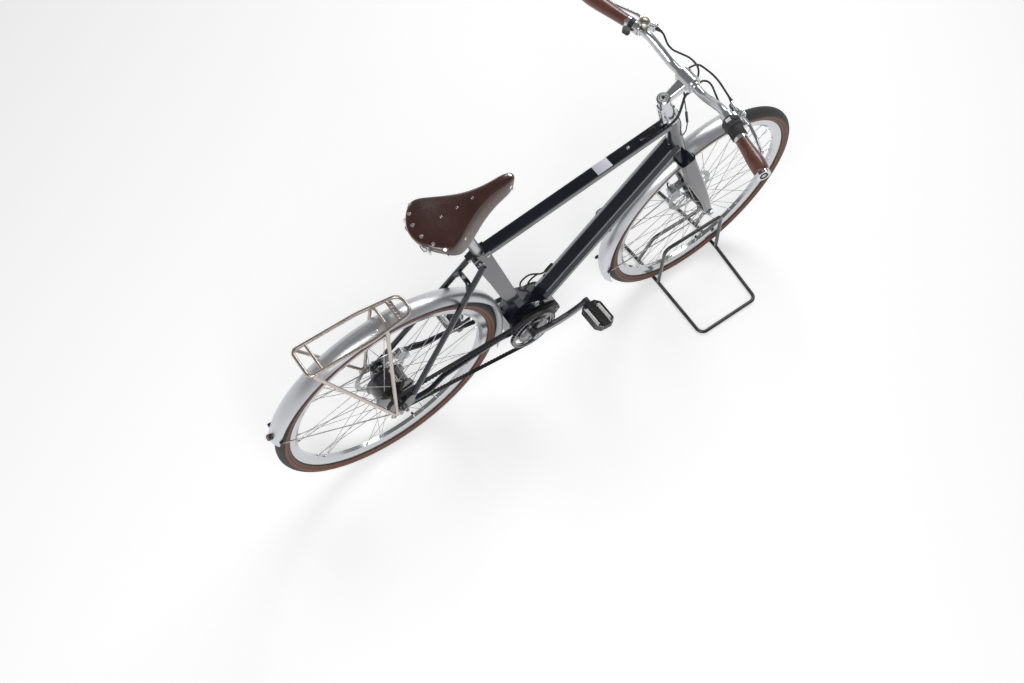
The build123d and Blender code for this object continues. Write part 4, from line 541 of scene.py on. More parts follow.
def between(stations, share, column):
    # smooth value between the stations
    for i in range(len(stations) - 1):
        if share <= stations[i + 1][0] or i == len(stations) - 2:
            break
    low, high = stations[i], stations[i + 1]
    before, after = stations[max(i - 1, 0)], stations[min(i + 2, len(stations) - 1)]
    width = high[0] - low[0]
    t = (share - low[0]) / width
    startSlope = (high[column] - before[column]) / max(high[0] - before[0], 1e-6) * width
    endSlope = (after[column] - low[column]) / max(after[0] - low[0], 1e-6) * width
    a, b = low[column], high[column]
    return (2 * t**3 - 3 * t**2 + 1) * a + (t**3 - 2 * t**2 + t) * startSlope \
        + (3 * t**2 - 2 * t**3) * b + (t**3 - t**2) * endSlope


def saddleSkin(share, side, drop=0.0):
    # a point of the leather's outer face: share from back to nose, side from -1 to 1 over the crown
    half, rise, depth, flare = (between(saddle["stations"], share, column) for column in (1, 2, 3, 4))
    reach = abs(side) / saddle["ridge"]
    over = max(0.0, (abs(side) - saddle["ridge"]) / (1 - saddle["ridge"]))
    across = math.copysign(min(reach, 1.0) * half + flare * over ** 0.8, side)
    crown = saddle["crownFall"]
    fall = crown * min(reach, 1.0) ** 3 + (depth - crown) * over ** 1.1
    end = across / (half + flare)
    x = saddle["back"] + share * saddle["length"]
    x += saddle["backRound"] * max(0.0, 1 - share * 3.2) * end**2
    x -= saddle["noseRound"] * max(0.0, share * 5 - 4) * end**2
    return Vector((x, across * saddle["half"], saddle["top"] + rise - 0.001 - max(fall, drop)))


def onSaddle(share, side):
    place = saddleSkin(share, side)
    alongX = saddleSkin(share + 0.01, side) - saddleSkin(share - 0.01, side)
    alongY = saddleSkin(share, side + 0.02) - saddleSkin(share, side - 0.02)
    up = alongX.cross(alongY).normalized()
    return place - up * 0.0006, up, alongX


def makeSaddleLeather():
    rows = saddle["rows"]
    freeHands()
    bpy.ops.mesh.primitive_grid_add(x_subdivisions=len(rows) - 1, y_subdivisions=saddle["columns"], size=2)
    item = bpy.context.object
    for vertex in item.data.vertices:
        row = round((vertex.co.x + 1) / 2 * (len(rows) - 1))
        share, drop = rows[row]
        vertex.co = saddleSkin(share, vertex.co.y, drop)
    shell = item.modifiers.new("leather", "SOLIDIFY")
    shell.thickness = saddle["wall"]
    shell.offset = -1
    bpy.ops.object.modifier_apply(modifier=shell.name)
    smoothOut(item, 2)
    settle(item, "saddle_leather", "saddleLeather", "frame")
    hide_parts("saddle")


def makeSaddleRivets():
    r = saddle["rivet"]
    back = [onSaddle(0.055, side) for side in (-0.66, -0.44, -0.16, 0.16, 0.44, 0.66)]
    nose = [onSaddle(0.955, side) for side in (-0.84, 0.0, 0.84)]
    turned("saddle_rivets", back + nose, r, 0.0014, dish(r * 0.35, 0.0005) + [("inset", r * 0.3)],
           "chrome", "frame", edge=0.0004)
    e = saddle["eyelet"]
    vents = [onSaddle(share, 0.0) for share in (0.29, 0.44, 0.59)]
    turned("saddle_eyelets", vents, e, 0.0012, dish(e * 0.45, -0.0016), "chrome", "frame", sides=24)
    sides = [onSaddle(0.36, side) for side in (-0.80, 0.80)]
    turned("saddle_side_studs", sides, e, 0.0011, dish(e * 0.4, 0.0004), "chrome", "frame", sides=24)
    rear = Vector((saddle["back"] + 0.010, 0, saddle["top"] - 0.046))
    loops = []
    for side in (-0.030, 0.030):
        at = rear + Vector((0.006, side, 0))
        loops.append([at + Vector(p) for p in saddle["bagLoop"]])
    bentWire("saddle_bag_loops", loops, 0.0016, "chrome", "frame")
    strip = [(rear + Vector((0.006, 0, 0.003)), (-1, 0, 0.15), (0, 1, 0))]
    slabs("saddle_rear_strip", strip, (0.084, 0.013, 0.0018), dish(0.002, -0.0004), "chrome", "frame")


makeSaddleLeather()
makeSaddleRivets()
print("saddle is made")


# ---- handlebar ends
bars = {"endFrom": 0.325, "inwards": (0.045, 0.196, 0.005), "capLength": 0.0093}


def barEnd(side):
    # the end of the bar, and the way inwards from it
    ring = [v.co for v in nodes["handlebar"].data.vertices if v.co.y * side > bars["endFrom"]]
    end = sum(ring, Vector()) / len(ring)
    ahead, across, rise = bars["inwards"]
    inward = Vector((ahead, -side * across, rise)).normalized()
    tip = end + inward * min((p - end).dot(inward) for p in ring)
    return tip, inward


grip = {
    "length": {-1: 0.096, 1: 0.128},
    # place along, half height, half width, shift towards the rider
    "sections": [(0.0, 0.0150, 0.0165, 0.0), (0.012, 0.0170, 0.0190, -0.0004),
                 (0.10, 0.0176, 0.0208, -0.0014), (0.24, 0.0177, 0.0216, -0.0022),
                 (0.40, 0.0170, 0.0212, -0.0020), (0.56, 0.0161, 0.0193, -0.0012),
                 (0.74, 0.0155, 0.0170, -0.0004), (0.90, 0.0153, 0.0160, 0.0), (0.988, 0.0154, 0.0159, 0.0),
                 (1.0, 0.0145, 0.0148, 0.0)],
    "stitch": (0.0028, 0.0011, 0.0008), "stitchStep": 0.0052, "seamTurn": 205,
}


def makeGrip(side, name, node):
    tip, inward = barEnd(side)
    length = grip["length"][side]
    start = tip + inward * (bars["capLength"] + 0.0003)
    sections = []
    for share, high, wide, back in grip["sections"]:
        sections.append((share * length, high, wide, 0.0, back * side))
    item = lofted(sections, 40)
    smoothOut(item, 1)
    place = standing(start, inward, (0, 0, 1))
    item.matrix_world = place
    settle(item, name, "gripLeather", "front_assembly")
    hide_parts(node)
    # seam stitched along the lower, rear side
    spots = []
    stitches = round(length / grip["stitchStep"])
    for i in range(1, stitches):
        share = i / stitches
        high, wide, back = (between(grip["sections"], share, column) for column in (1, 2, 3))
        turn = math.radians(grip["seamTurn"])
        across = wide * math.sin(turn) * side + back * side
        spot = Vector((high * math.cos(turn), across, share * length))
        up = place.to_3x3() @ Vector((math.cos(turn), math.sin(turn) * side, 0))
        spots.append((place @ spot - up * 0.0004, up, inward))
    slabs(name + "_stitches", spots, grip["stitch"], [("inset", 0.0002)], "thread", "front_assembly",
          edge=0.0003, segments=2)


makeGrip(-1, "grip_leather_right", "grip_right")
makeGrip(1, "grip_leather_left", "grip_left")
print("grips are made")


def meet(name, start, direction):
    # where a straight line from start first meets a node: its place and its outward direction
    hit, place, normal, _ = nodes[name].ray_cast(Vector(start), Vector(direction).normalized())
    if not hit:
        raise RuntimeError(f"nothing of {name} lies that way")
    return place, normal


def boltOn(name, node, start, direction, radius, length, steps, material, body="frame", sides=24,
           sink=0.0003):
    # a round piece set on a node's face, a little sunk into it
    place, normal = meet(node, start, direction)
    turned(name, [(place - normal * sink, normal)], radius, length, steps, material, body, sides=sides)
    return place, normal


def steerPoint(distance, ahead=0.0, side=0.0):
    return steerFoot + steerUp * distance + steerAhead * ahead + left * side


def outwardAt(turn):
    # direction in the XZ plane, by its angle in radians from straight ahead
    return Vector((math.cos(turn), 0, math.sin(turn)))


def ringPlaces(count, radius, start=0.0):
    # places round a circle in the XZ plane, with their outward direction
    for i in range(count):
        outward = outwardAt(math.radians(start) + 2 * math.pi * i / count)
        yield outward * radius, outward


# ---- twist shifter
shifter = {
    "from": 0.1149, "ribs": 26, "ribSize": (0.0262, 0.0021, 0.0011), "ribRadius": 0.0182, "ribMiddle": 0.0138,
    "collar": 0.0445, "collarRadius": 0.0212, "screwBack": 0.0125,
    # height along the bar, radius
    "profile": [(0.0, 0.0172), (0.0012, 0.0184), (0.026, 0.0190), (0.0275, 0.0190), (0.0285, 0.0225),
                (0.030, 0.0236), (0.0335, 0.0236), (0.035, 0.0222), (0.0365, 0.0200), (0.038, 0.0208),
                (0.040, 0.0224), (0.048, 0.0226), (0.0505, 0.0212), (0.0535, 0.0178), (0.055, 0.0150)],
}


def makeShifter():
    tip, inward = barEnd(-1)
    start = tip + inward * shifter["from"]
    item = lofted([(height, radius, radius, 0, 0) for height, radius in shifter["profile"]], 48)
    roundEdges(item, 0.0005)
    place = standing(start, inward, (0, 0, 1))
    item.matrix_world = place
    settle(item, "shifter_barrel", "blackPlastic", "front_assembly")
    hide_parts("twist_shifter")
    turn = place.to_3x3()
    spots = []
    for i in range(shifter["ribs"]):
        angle = 2 * math.pi * i / shifter["ribs"]
        up = turn @ Vector((math.cos(angle), math.sin(angle), 0))
        spots.append((start + inward * shifter["ribMiddle"] + up * shifter["ribRadius"], up, inward))
    slabs("shifter_ribs", spots, shifter["ribSize"], [("inset", 0.0004)], "blackPlastic", "front_assembly",
          edge=0.0004, segments=2)
    # the window looks up and towards the rider
    lean = 0.6 if (turn @ Vector((0, 1, 0))).x < 0 else -0.6
    up = turn @ Vector((0.8, lean, 0))
    spot = start + inward * shifter["collar"]
    window = spot + up * shifter["collarRadius"]
    slabs("shifter_window", [(window, up, inward)], (0.0085, 0.013, 0.0028), dish(0.0012, -0.0006),
          "whiteWindow", "front_assembly", edge=0.0006)
    side = inward.cross(up)
    front = side if side.x > 0 else -side
    turned("shifter_adjuster", [(spot + front * 0.0195 - up * 0.004, front + inward * 0.9)], 0.0037, 0.014,
           dish(0.0008, 0.003) + [("inset", 0.0009)], "polished", "front_assembly", sides=20)
    screw = window - inward * shifter["screwBack"]
    turned("shifter_cap_screw", [(screw, up, inward)], 0.0026, 0.0022, dish(0.0008, -0.0008), "satin",
           "front_assembly", sides=20)


# ---- brake levers, bell, grip ends
lever = {"clampFrom": {-1: 0.1709, 1: 0.1599}, "halfClamp": 0.008, "housing": (0.034, 0, -0.003),
         "lidRise": 0.0094, "screwReach": 0.019, "screwRise": 0.0024, "pivotOut": 0.012, "boot": 0.0245}


def makeLeverDetails():
    caps = []
    screws = []
    pivots = []
    boots = []
    up = Vector((0, 0, 1))
    for side in (-1, 1):
        tip, inward = barEnd(side)
        middle = tip + inward * (lever["clampFrom"][side] + lever["halfClamp"])
        housing = middle + Vector(lever["housing"]) + inward * 0.002
        top = housing + up * lever["lidRise"]
        caps.append((top, up, inward))
        for reach in (-lever["screwReach"], lever["screwReach"]):
            screws.append((top + inward * reach + up * lever["screwRise"], up))
        pivots.append((housing - inward * lever["pivotOut"] + Vector((0.004, 0, 0.0090)), up))
        boots.append((housing + inward * lever["boot"], inward))
    body = "front_assembly"
    slabs("reservoir_lids", caps, (0.045, 0.0165, 0.0026), dish(0.0016, 0.0006), "polished", body,
          edge=0.0012)
    turned("reservoir_screws", screws, 0.0021, 0.0016, dish(0.0008, -0.0007), "satin", body, sides=18)
    turned("lever_pivots", pivots, 0.0042, 0.0042, dish(0.001, 0.0008) + [("inset", 0.001)], "satin", body,
           sides=24)
    turned("hose_boots", boots, 0.0050, 0.006, dish(0.0008, 0.005) + dish(0.0009, 0.006), "hose", body,
           sides=24, edge=0.0005)


bell = {
    "profile": [(0.0, 0.0152), (0.0006, 0.0166), (0.004, 0.0168), (0.0082, 0.0158), (0.0120, 0.0134),
                (0.0150, 0.0099), (0.0168, 0.0056), (0.0174, 0.0020)],
    "domeDepth": 0.011, "foot": 0.0140,
    "striker": [(-0.004, -0.006, -0.004), (-0.014, -0.010, -0.002), (-0.0185, -0.009, 0.003),
                (-0.0185, -0.006, 0.0085)],
}


def makeBell():
    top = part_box("bell")[1].z
    dome = [v.co for v in nodes["bell"].data.vertices if v.co.z > top - bell["domeDepth"]]
    x = (max(v.x for v in dome) + min(v.x for v in dome)) / 2
    y = (max(v.y for v in dome) + min(v.y for v in dome)) / 2
    item = lofted([(height, radius, radius, 0, 0) for height, radius in bell["profile"]], 40)
    smoothOut(item, 1)
    base = Vector((x, y, top - bell["foot"]))
    item.matrix_world = Matrix.Translation(base)
    settle(item, "bell_dome", "bellBrass", "front_assembly")
    turned("bell_rim", [(base - Vector((0, 0, 0.0016)), (0, 0, 1))], 0.0158, 0.0022, dish(0.002, 0.0004),
           "bellBrass", "front_assembly", sides=40)
    arm = [base + Vector(p) for p in bell["striker"]]
    bentWire("bell_striker", [arm], 0.0016, "blackPlastic", "front_assembly")


def makeBarEndCaps():
    spots = []
    slots = []
    for side in (-1, 1):
        tip, inward = barEnd(side)
        spots.append((tip + inward * 0.0012, -inward))
        up = standing(tip, inward, (0, 0, 1)).to_3x3() @ Vector((0.75, 0.66 * side, 0))
        slots.append((tip + inward * 0.0047 + up * 0.0166, up, inward))
    turned("bar_end_plugs", spots, 0.0102, 0.0028, dish(0.0018, -0.0012) + dish(0.003, -0.0008),
           "blackPlastic", "front_assembly", edge=0.0004)
    slabs("cap_clamp_slots", slots, (0.0058, 0.0085, 0.0013), dish(0.0008, -0.0003),
          "blackPlastic", "front_assembly", edge=0.0003, segments=2)


makeShifter()
makeLeverDetails()
makeBell()
makeBarEndCaps()
print("controls are made")


# ---- stem
stem = {"capBack": -0.010, "barMiddle": (0.3497, 0, 1.0140), "clampRadius": 0.0208, "clampBolts": 0.0145}


def makeStemDetails():
    capTop = along("stem_body", steerFoot, steerUp)[1]
    headTop = along("head_tube", steerFoot, steerUp)[1]
    body = "front_assembly"
    cap = steerPoint(capTop, stem["capBack"])
    turned("stem_cap_rings", [(cap - steerUp * 0.0003, steerUp)], 0.0136, 0.0009,
           dish(0.0028, -0.0009) + dish(0.0016, 0.0012) + dish(0.0024, -0.0008), "capSatin", body,
           sides=48, edge=0.0002)
    turned("stem_cap_plug", [(cap + steerUp * 0.0002, steerUp)], 0.0040, 0.0012, dish(0.0012, -0.0008),
           "blackPlastic", body, sides=24)
    slots = [(steerPoint(headTop + reach, -0.0298), -steerAhead, steerUp) for reach in (0.030, 0.048, 0.066)]
    slabs("stem_ear_slots", slots, (0.010, 0.0050, 0.0006), dish(0.0008, -0.0003), "blackPlastic", body,
          edge=0.0003, segments=2)
    bolts = []
    for reach in (0.034, 0.062):
        for side in (-1, 1):
            bolts.append((steerPoint(headTop + reach, -0.024, side * 0.0108), left * side))
    turned("stem_pinch_bolts", bolts, 0.0038, 0.0022, dish(0.0014, -0.0014), "chrome", body, sides=24)
    boltOn("stem_front_bolt", "stem_body", steerPoint(headTop + 0.058, 0.06, -0.010), -steerAhead, 0.0036,
           0.0020, dish(0.0012, -0.001), "blackPlastic", body, sink=0.0004)
    spots = []
    for side in (-1, 1):
        for lift in (-0.35, 0.55):
            out = outwardAt(lift)
            place = Vector(stem["barMiddle"]) + out * stem["clampRadius"] + left * side * stem["clampBolts"]
            spots.append((place, out))
    turned("bar_clamp_bolts", spots, 0.0036, 0.0022, dish(0.0012, -0.0012), "satin", body, sides=24)
    turned("headset_ring", [(steerPoint(headTop - 0.0042), steerUp)], 0.0218, 0.0036, [("inset", 0.0006)],
           "polished", "frame", sides=48, edge=0.0008)


# ---- frame fittings
fitting = {
    # x of what sits on the top tube
    "light": 0.190, "tubeBolt": 0.2975, "inlay": 0.252, "sticker": 0.108, "tubeFall": (1, 0, 0.2),
    # x and z of what sits on the right side
    "stud": (0.165, 0.540), "batteryLock": (-0.080, 0.385), "seatLock": (-0.2705, 0.7435),
    "clusterBolt": (-0.2495, 0.7690),
    "bridge": -0.3094, "clampBolt": (-0.2989, 0.0078, 0.7796),
    "edgeHalf": 0.0172, "edgeFrom": 0.03, "edgeTo": -0.036, "edgeRadius": 0.0019, "edgeSunk": 0.0012,
}


def makeTopTubeDetails():
    down = Vector((0, 0, -1))
    boltOn("power_light", "top_tube", (fitting["light"], 0, 1.0), down, 0.0048, 0.0012,
           dish(0.0012, -0.0004) + dish(0.0010, 0.0004), "chrome", sink=0.0004)
    boltOn("top_tube_bolt", "top_tube", (fitting["tubeBolt"], 0, 1.0), down, 0.0040, 0.0014,
           dish(0.0012, -0.0008), "chrome")
    place, normal = meet("top_tube", (fitting["inlay"], 0, 1.0), down)
    slabs("top_tube_inlay", [(place - normal * 0.0003, normal, fitting["tubeFall"])],
          (0.052, 0.015, 0.0008), dish(0.0009, -0.0003), "blackGloss", "frame", edge=0.0003)
    place, normal = meet("top_tube", (fitting["sticker"], -0.001, 1.0), down)
    slabs("top_tube_sticker", [(place - normal * 0.0002, normal, fitting["tubeFall"])],
          (0.046, 0.030, 0.0005), dish(0.0012, 0.0001), "sticker", "frame", edge=0.0002, segments=2)


def makeDownTubeDetails():
    down = Vector((0, 0, -1))
    head = along("down_tube", Vector((0, 0, 0)), Vector((1, 0, 0)))[1]
    # thin wires in a lighter metal along both top edges of the down tube: a painted highlight line on each
    # bevel, where the dark paint reflects light
    edges = []
    for y in (-fitting["edgeHalf"], fitting["edgeHalf"]):
        run = []
        for x in (head - fitting["edgeFrom"], fitting["edgeTo"]):
            run.append(meet("down_tube", (x, y, 1.2), down)[0] - Vector((0, 0, fitting["edgeSunk"])))
        edges.append([run[0], run[0].lerp(run[1], 0.5), run[1]])
    bentWire("tube_edge_highlights", edges, fitting["edgeRadius"], "edgeGlint", "frame")
    boltOn("down_tube_bolt", "down_tube", (head - 0.026, 0, 1.2), down, 0.0050, 0.0014,
           dish(0.0014, -0.0008), "chrome")


def fromRight(name):
    # where a line from the right starts, for a fitting on that side
    x, z = fitting[name]
    return Vector((x, -0.3, z))


def makeSideFittings():
    boltOn("down_tube_stud", "down_tube", fromRight("stud"), left, 0.0042, 0.0022, dish(0.0012, 0.0006),
           "blackPlastic")
    place, normal = boltOn("battery_lock", "drive_cradle", fromRight("batteryLock"), left, 0.0095, 0.0024,
                           dish(0.0022, -0.0010) + dish(0.0028, 0.0006), "chrome", sides=36)
    turned("battery_lock_key", [(place + normal * 0.0010, normal)], 0.0036, 0.0012, dish(0.0012, -0.0006),
           "blackPlastic", "frame", sides=20)
    place, normal = boltOn("seat_lock", "seat_tube", fromRight("seatLock"), left, 0.0098, 0.0026,
                           dish(0.0020, -0.0008) + dish(0.0026, 0.0006), "chrome", sides=36)
    slabs("seat_lock_key", [(place + normal * 0.0010, normal, (0.3, 0, 1))], (0.0062, 0.0018, 0.0014),
          dish(0.0004, -0.0003), "blackPlastic", "frame", edge=0.0003, segments=2)


def makeSeatFittings():
    place, normal = meet("seatstays", (fitting["bridge"], 0, 1.0), (0, 0, -1))
    turned("bridge_bolt", [(place - normal * 0.001, normal + Vector((-0.6, 0, 0)))], 0.0056, 0.0040,
           dish(0.0014, 0.0014) + [("inset", 0.001)], "chrome", "frame", sides=28)
    x, y, z = fitting["clampBolt"]
    bolts = [(Vector((x, side * y, z)), (0, side, 0)) for side in (-1, 1)]
    turned("seat_clamp_bolt", bolts, 0.0048, 0.0030, dish(0.0014, -0.0014), "chrome", "frame", sides=24)
    boltOn("seat_cluster_bolt", "seat_tube", fromRight("clusterBolt"), left, 0.0042, 0.0020,
           dish(0.0012, -0.001), "chrome")


makeStemDetails()
makeTopTubeDetails()
makeDownTubeDetails()
makeSideFittings()
makeSeatFittings()
print("stem and frame fittings are made")


# ---- drive, cranks and pedals
drive = {
    # left cover: its middle, and the y that its ribs stand on
    "cover": (-0.057, 0.0538, 0.293), "ribs": 44, "ribRadius": 0.0516, "ribSide": 0.0472,
    # how far out the pieces on the cranks' axis lie
    "capSide": 0.0808, "ringSide": 0.0586, "boltSide": 0.0594, "boltRadius": 0.0385,
    # case bolts on the right: x and z from the cranks' axis
    "caseSide": 0.0398,
    "caseBolts": [(0.050, 0.026), (0.098, 0.000), (0.074, -0.038), (0.010, -0.048), (-0.036, 0.012)],
}


def makeDriveDetails():
    cover = Vector(drive["cover"])
    turned("drive_cover_rings", [(cover, left)], 0.0500, 0.0014,
           dish(0.004, -0.0009) + dish(0.003, 0.0014) + dish(0.014, -0.0014) + dish(0.004, 0.0010),
           "driveCase", "frame", sides=64)
    spots = []
    for spot, outward in ringPlaces(drive["ribs"], drive["ribRadius"]):
        # none at the back, except low down
        if not (outward.x < -0.45 and outward.z > -0.55):
            spots.append((Vector((cover.x, drive["ribSide"], cover.z)) + spot, outward, left))
    slabs("drive_cover_ribs", spots, (0.0125, 0.0026, 0.0022), [("inset", 0.0006)], "driveCase", "frame",
          edge=0.0005, segments=2)
    axle = Vector((crankAxle.x, 0, crankAxle.z))
    caps = [(axle + left * side * drive["capSide"], left * side) for side in (-1, 1)]
    turned("crank_caps", caps, 0.0118, 0.0020, dish(0.0022, -0.0012) + dish(0.0040, -0.0014), "satin",
           "cranks", sides=36)
    turned("chainring_cover", [(axle - left * drive["ringSide"], -left)], 0.0505, 0.0016,
           dish(0.0030, -0.0006) + dish(0.0150, 0.0008), "driveCase", "cranks", sides=72)
    bolts = []
    for spot, _ in ringPlaces(5, drive["boltRadius"], -32):
        bolts.append((axle + spot - left * drive["boltSide"], -left))
    turned("chainring_bolts", bolts, 0.0044, 0.0032, dish(0.0012, -0.0012), "satin", "cranks", sides=24)
    screws = [(axle + Vector((x, -drive["caseSide"], z)), -left) for x, z in drive["caseBolts"]]
    turned("drive_case_bolts", screws, 0.0046, 0.0030, dish(0.0014, -0.0014), "satin", "frame", sides=24)


# "out" leads from a pedal's joint to its middle
pedal = {"out": 0.040, "treads": 9, "treadStep": 0.0092, "treadRise": 0.0082, "stripAhead": 0.0222,
         "stripRise": 0.0068}


def makePedalTreads():
    tilt = Matrix.Rotation(pedalTilt, 3, "Y")
    for side, name in ((-1, "pedal_right"), (1, "pedal_left")):
        joint = Vector(joints[name + "_spin"]["pos_m"])
        middle = Vector((joint.x, side * (abs(joint.y) + pedal["out"]), joint.z))
        treads = []
        strips = []
        for face in (-1, 1):
            up = tilt @ Vector((0, 0, face))
            for i in range(pedal["treads"]):
                place = middle + left * (i - pedal["treads"] // 2) * pedal["treadStep"]
                treads.append((place + up * pedal["treadRise"], up, tilt @ Vector((1, 0, 0))))
            for edge in (-1, 1):
                place = middle + tilt @ Vector((edge * pedal["stripAhead"], 0, 0))
                strips.append((place + up * pedal["stripRise"], up, left))
        slabs(name + "_reflectors", strips, (0.058, 0.0092, 0.0020), dish(0.001, -0.0004), "whiteWindow",
              name, edge=0.0004, segments=2)
        slabs(name + "_tread", treads, (0.0285, 0.0062, 0.0019), dish(0.0012, 0.0003), "pedalRubber", name,
              edge=0.0005, segments=2)


makeDriveDetails()
makePedalTreads()
print("drive and pedals are made")


# ---- wheels, brakes and fenders
wheel = {
    "spokes": 18, "inner": 0.2912, "valveTurn": -77, "valveLength": 0.018,
    # degrees from a spoke's place at the hub to its nipple; radius of the disc's bolt circle
    "cross": {"front": 42, "rear": 30}, "discBolts": {"front": 0.0175, "rear": 0.0285},
}


def makeWheelDetails(end, axle):
    hub = Vector((axle.x, 0, axle.z))
    body = end + "_wheel"
    spots = []
    step = 360 / wheel["spokes"]
    for side in (-1, 1):
        for i in range(wheel["spokes"]):
            lean = 1 if i % 2 else -1
            turn = step * i + (step / 2 if side > 0 else 0) + lean * wheel["cross"][end]
            across = side * (0.0026 + lean * 0.0013)
            out = outwardAt(math.radians(turn))
            spots.append((hub + out * wheel["inner"] + left * across, -out))
    turned(end + "_spoke_nipples", spots, 0.0020, 0.006, dish(0.0004, 0.004), "chrome", body, sides=8,
           edge=0.0002)
    out = outwardAt(math.radians(wheel["valveTurn"]))
    foot = hub + out * (wheel["inner"] + 0.0005)
    turned(end + "_valve", [(foot, -out)], 0.0042, 0.0030, dish(0.0014, wheel["valveLength"]), "chrome",
           body, sides=20)
    tip = foot - out * wheel["valveLength"]
    turned(end + "_valve_cap", [(tip, -out)], 0.0036, 0.010, dish(0.0008, 0.0012), "blackPlastic", body,
           sides=20)
    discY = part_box(end + "_brake_disc")[1].y
    bolts = []
    for spot, _ in ringPlaces(6, wheel["discBolts"][end], 30):
        bolts.append((hub + spot + left * (discY - 0.0002), left))
    turned(end + "_disc_bolts", bolts, 0.0034, 0.0022, dish(0.0012, -0.0010), "satin", body, sides=20)


brake = {
    # caliper's middle: front along and ahead of the steering axis, rear ahead of and over the axle
    "front": (0.064, -0.017), "rear": (0.071, 0.033), "rearLean": 62, "boltReach": 0.016,
}


def makeBrakeDetails():
    lean = math.radians(brake["rearLean"])
    ahead, over = brake["rear"]
    rearMiddle = Vector((rearAxle.x + ahead, 0, rearAxle.z + over))
    places = {"front": (steerPoint(*brake["front"]), steerUp, "front_assembly"),
              "rear": (rearMiddle, Vector((math.cos(lean), 0, -math.sin(lean))), "frame")}
    for end, (middle, run, body) in places.items():
        spots = []
        for reach in (-brake["boltReach"], brake["boltReach"]):
            place, normal = meet(end + "_brake_caliper", middle + run * reach + left * 0.2, -left)
            spots.append((place - normal * 0.0003, normal))
        turned(end + "_caliper_bolts", spots, 0.0042, 0.0028, dish(0.0013, -0.0013), "chrome", body, sides=24)
        boltOn(end + "_caliper_piston", end + "_brake_caliper", middle + left * 0.2, -left, 0.0078, 0.0022,
               dish(0.0018, -0.0010) + dish(0.0020, 0.0006), "satin", body, sides=36)


fender = {"stayTurn": 188, "stayRadius": 0.361, "frontClip": 0.0270, "rearClip": 0.0272,
          "rivetTurns": (68, 93), "rivetSide": 0.012}


def makeFenderDetails():
    out = outwardAt(math.radians(fender["stayTurn"]))
    at = Vector((frontAxle.x, 0, frontAxle.z)) + out * fender["stayRadius"]
    clips = [(at + left * side * fender["frontClip"], left * side, out) for side in (-1, 1)]
    slabs("front_stay_clips", clips, (0.012, 0.010, 0.0062), dish(0.0016, 0.0006), "blackPlastic",
          "front_assembly", edge=0.0012)
    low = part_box("rear_fender_stays")[0]
    tail = [v.co for v in nodes["rear_fender_stays"].data.vertices if v.co.x < low.x + 0.004]
    at = sum(tail, Vector()) / len(tail)
    rear = []
    for side in (-1, 1):
        rear.append((Vector((at.x + 0.003, side * fender["rearClip"], at.z)), left * side, (0, 0, 1)))
    slabs("rear_stay_clips", rear, (0.012, 0.010, 0.0060), dish(0.0016, 0.0006), "blackPlastic", "frame",
          edge=0.0012)
    axle = Vector((rearAxle.x, 0, rearAxle.z))
    rivets = []
    for turn in fender["rivetTurns"]:
        out = outwardAt(math.radians(turn))
        for side in (-fender["rivetSide"], fender["rivetSide"]):
            place, normal = meet("rear_fender", axle + out * 0.45 + left * side, -out)
            rivets.append((place - normal * 0.0004, normal))
    turned("fender_rivets", rivets, 0.0030, 0.0010, dish(0.0010, 0.0003), "chrome", "frame", sides=20)
    lamp = middleOf("rear_light")
    out = (lamp - axle).normalized()
    turned("rear_light_lens", [(lamp + out * 0.0044, out)], 0.0086, 0.0012,
           dish(0.0020, -0.0006) + dish(0.0018, 0.0005), "darkLens", "frame", sides=32)


rack = {
    # the deck lies below the rack's top, the clip behind its front end
    "deckDrop": 0.009, "clipBack": 0.038, "plateRise": 0.0035, "wireRise": 0.0062,
    "wire": [(0, 0.024, 0), (-0.010, 0.020, 0.0015), (0.004, 0.014, 0.0020), (-0.012, 0.009, 0.0015),
             (0.002, 0.004, 0.0015)],
    # x and z of the foot bolts
    "footBolts": [(-0.571, 0.354), (-0.593, 0.3575)], "footSide": 0.0866,
}


def makeRackDetails():
    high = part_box("rear_rack")[1]
    deck = high.z - rack["deckDrop"]
    clip = high.x - rack["clipBack"]
    plate = Vector((clip, 0, deck + rack["plateRise"]))
    slabs("rack_clip_plate", [(plate, (0, 0, 1))], (0.012, 0.050, 0.0022), dish(0.0018, -0.0006), "rackSteel",
          "frame", edge=0.0006)
    front = Vector((clip, 0, deck + rack["wireRise"]))
    wires = [[front + Vector((x, side * y, z)) for x, y, z in rack["wire"]] for side in (-1, 1)]
    bentWire("rack_spring_clip", wires, 0.0013, "wire", "frame")
    tab = Vector((rearAxle.x - 0.003, 0, deck - 0.010))
    slabs("rack_fender_tab", [(tab, (1, 0, 0), (0, 0, 1))], (0.020, 0.024, 0.0026), dish(0.0022, -0.0005),
          "rackSteel", "frame", edge=0.0006)
    bolts = []
    for side in (-1, 1):
        for x, z in rack["footBolts"]:
            bolts.append((Vector((x, side * rack["footSide"], z)), left * side))
    turned("rack_foot_bolts", bolts, 0.0044, 0.0032, dish(0.0013, -0.0014), "chrome", "frame", sides=24)


makeWheelDetails("front", frontAxle)
makeWheelDetails("rear", rearAxle)
makeBrakeDetails()
makeFenderDetails()
makeRackDetails()
print("wheels, brakes, fenders and rack are made")


# ---- floor, light and camera
def lightReach(tree):
    # 1 for what the camera sees straight, in a mirror or through glass
    path = tree.nodes.new("ShaderNodeLightPath")
    seen = mathNode(tree, "MAXIMUM", path.outputs["Is Camera Ray"], path.outputs["Is Glossy Ray"])
    return mathNode(tree, "MAXIMUM", seen, path.outputs["Is Transmission Ray"])


stage = {"floorSize": 40.0, "floorWhite": 0.93, "lift": 0.36}


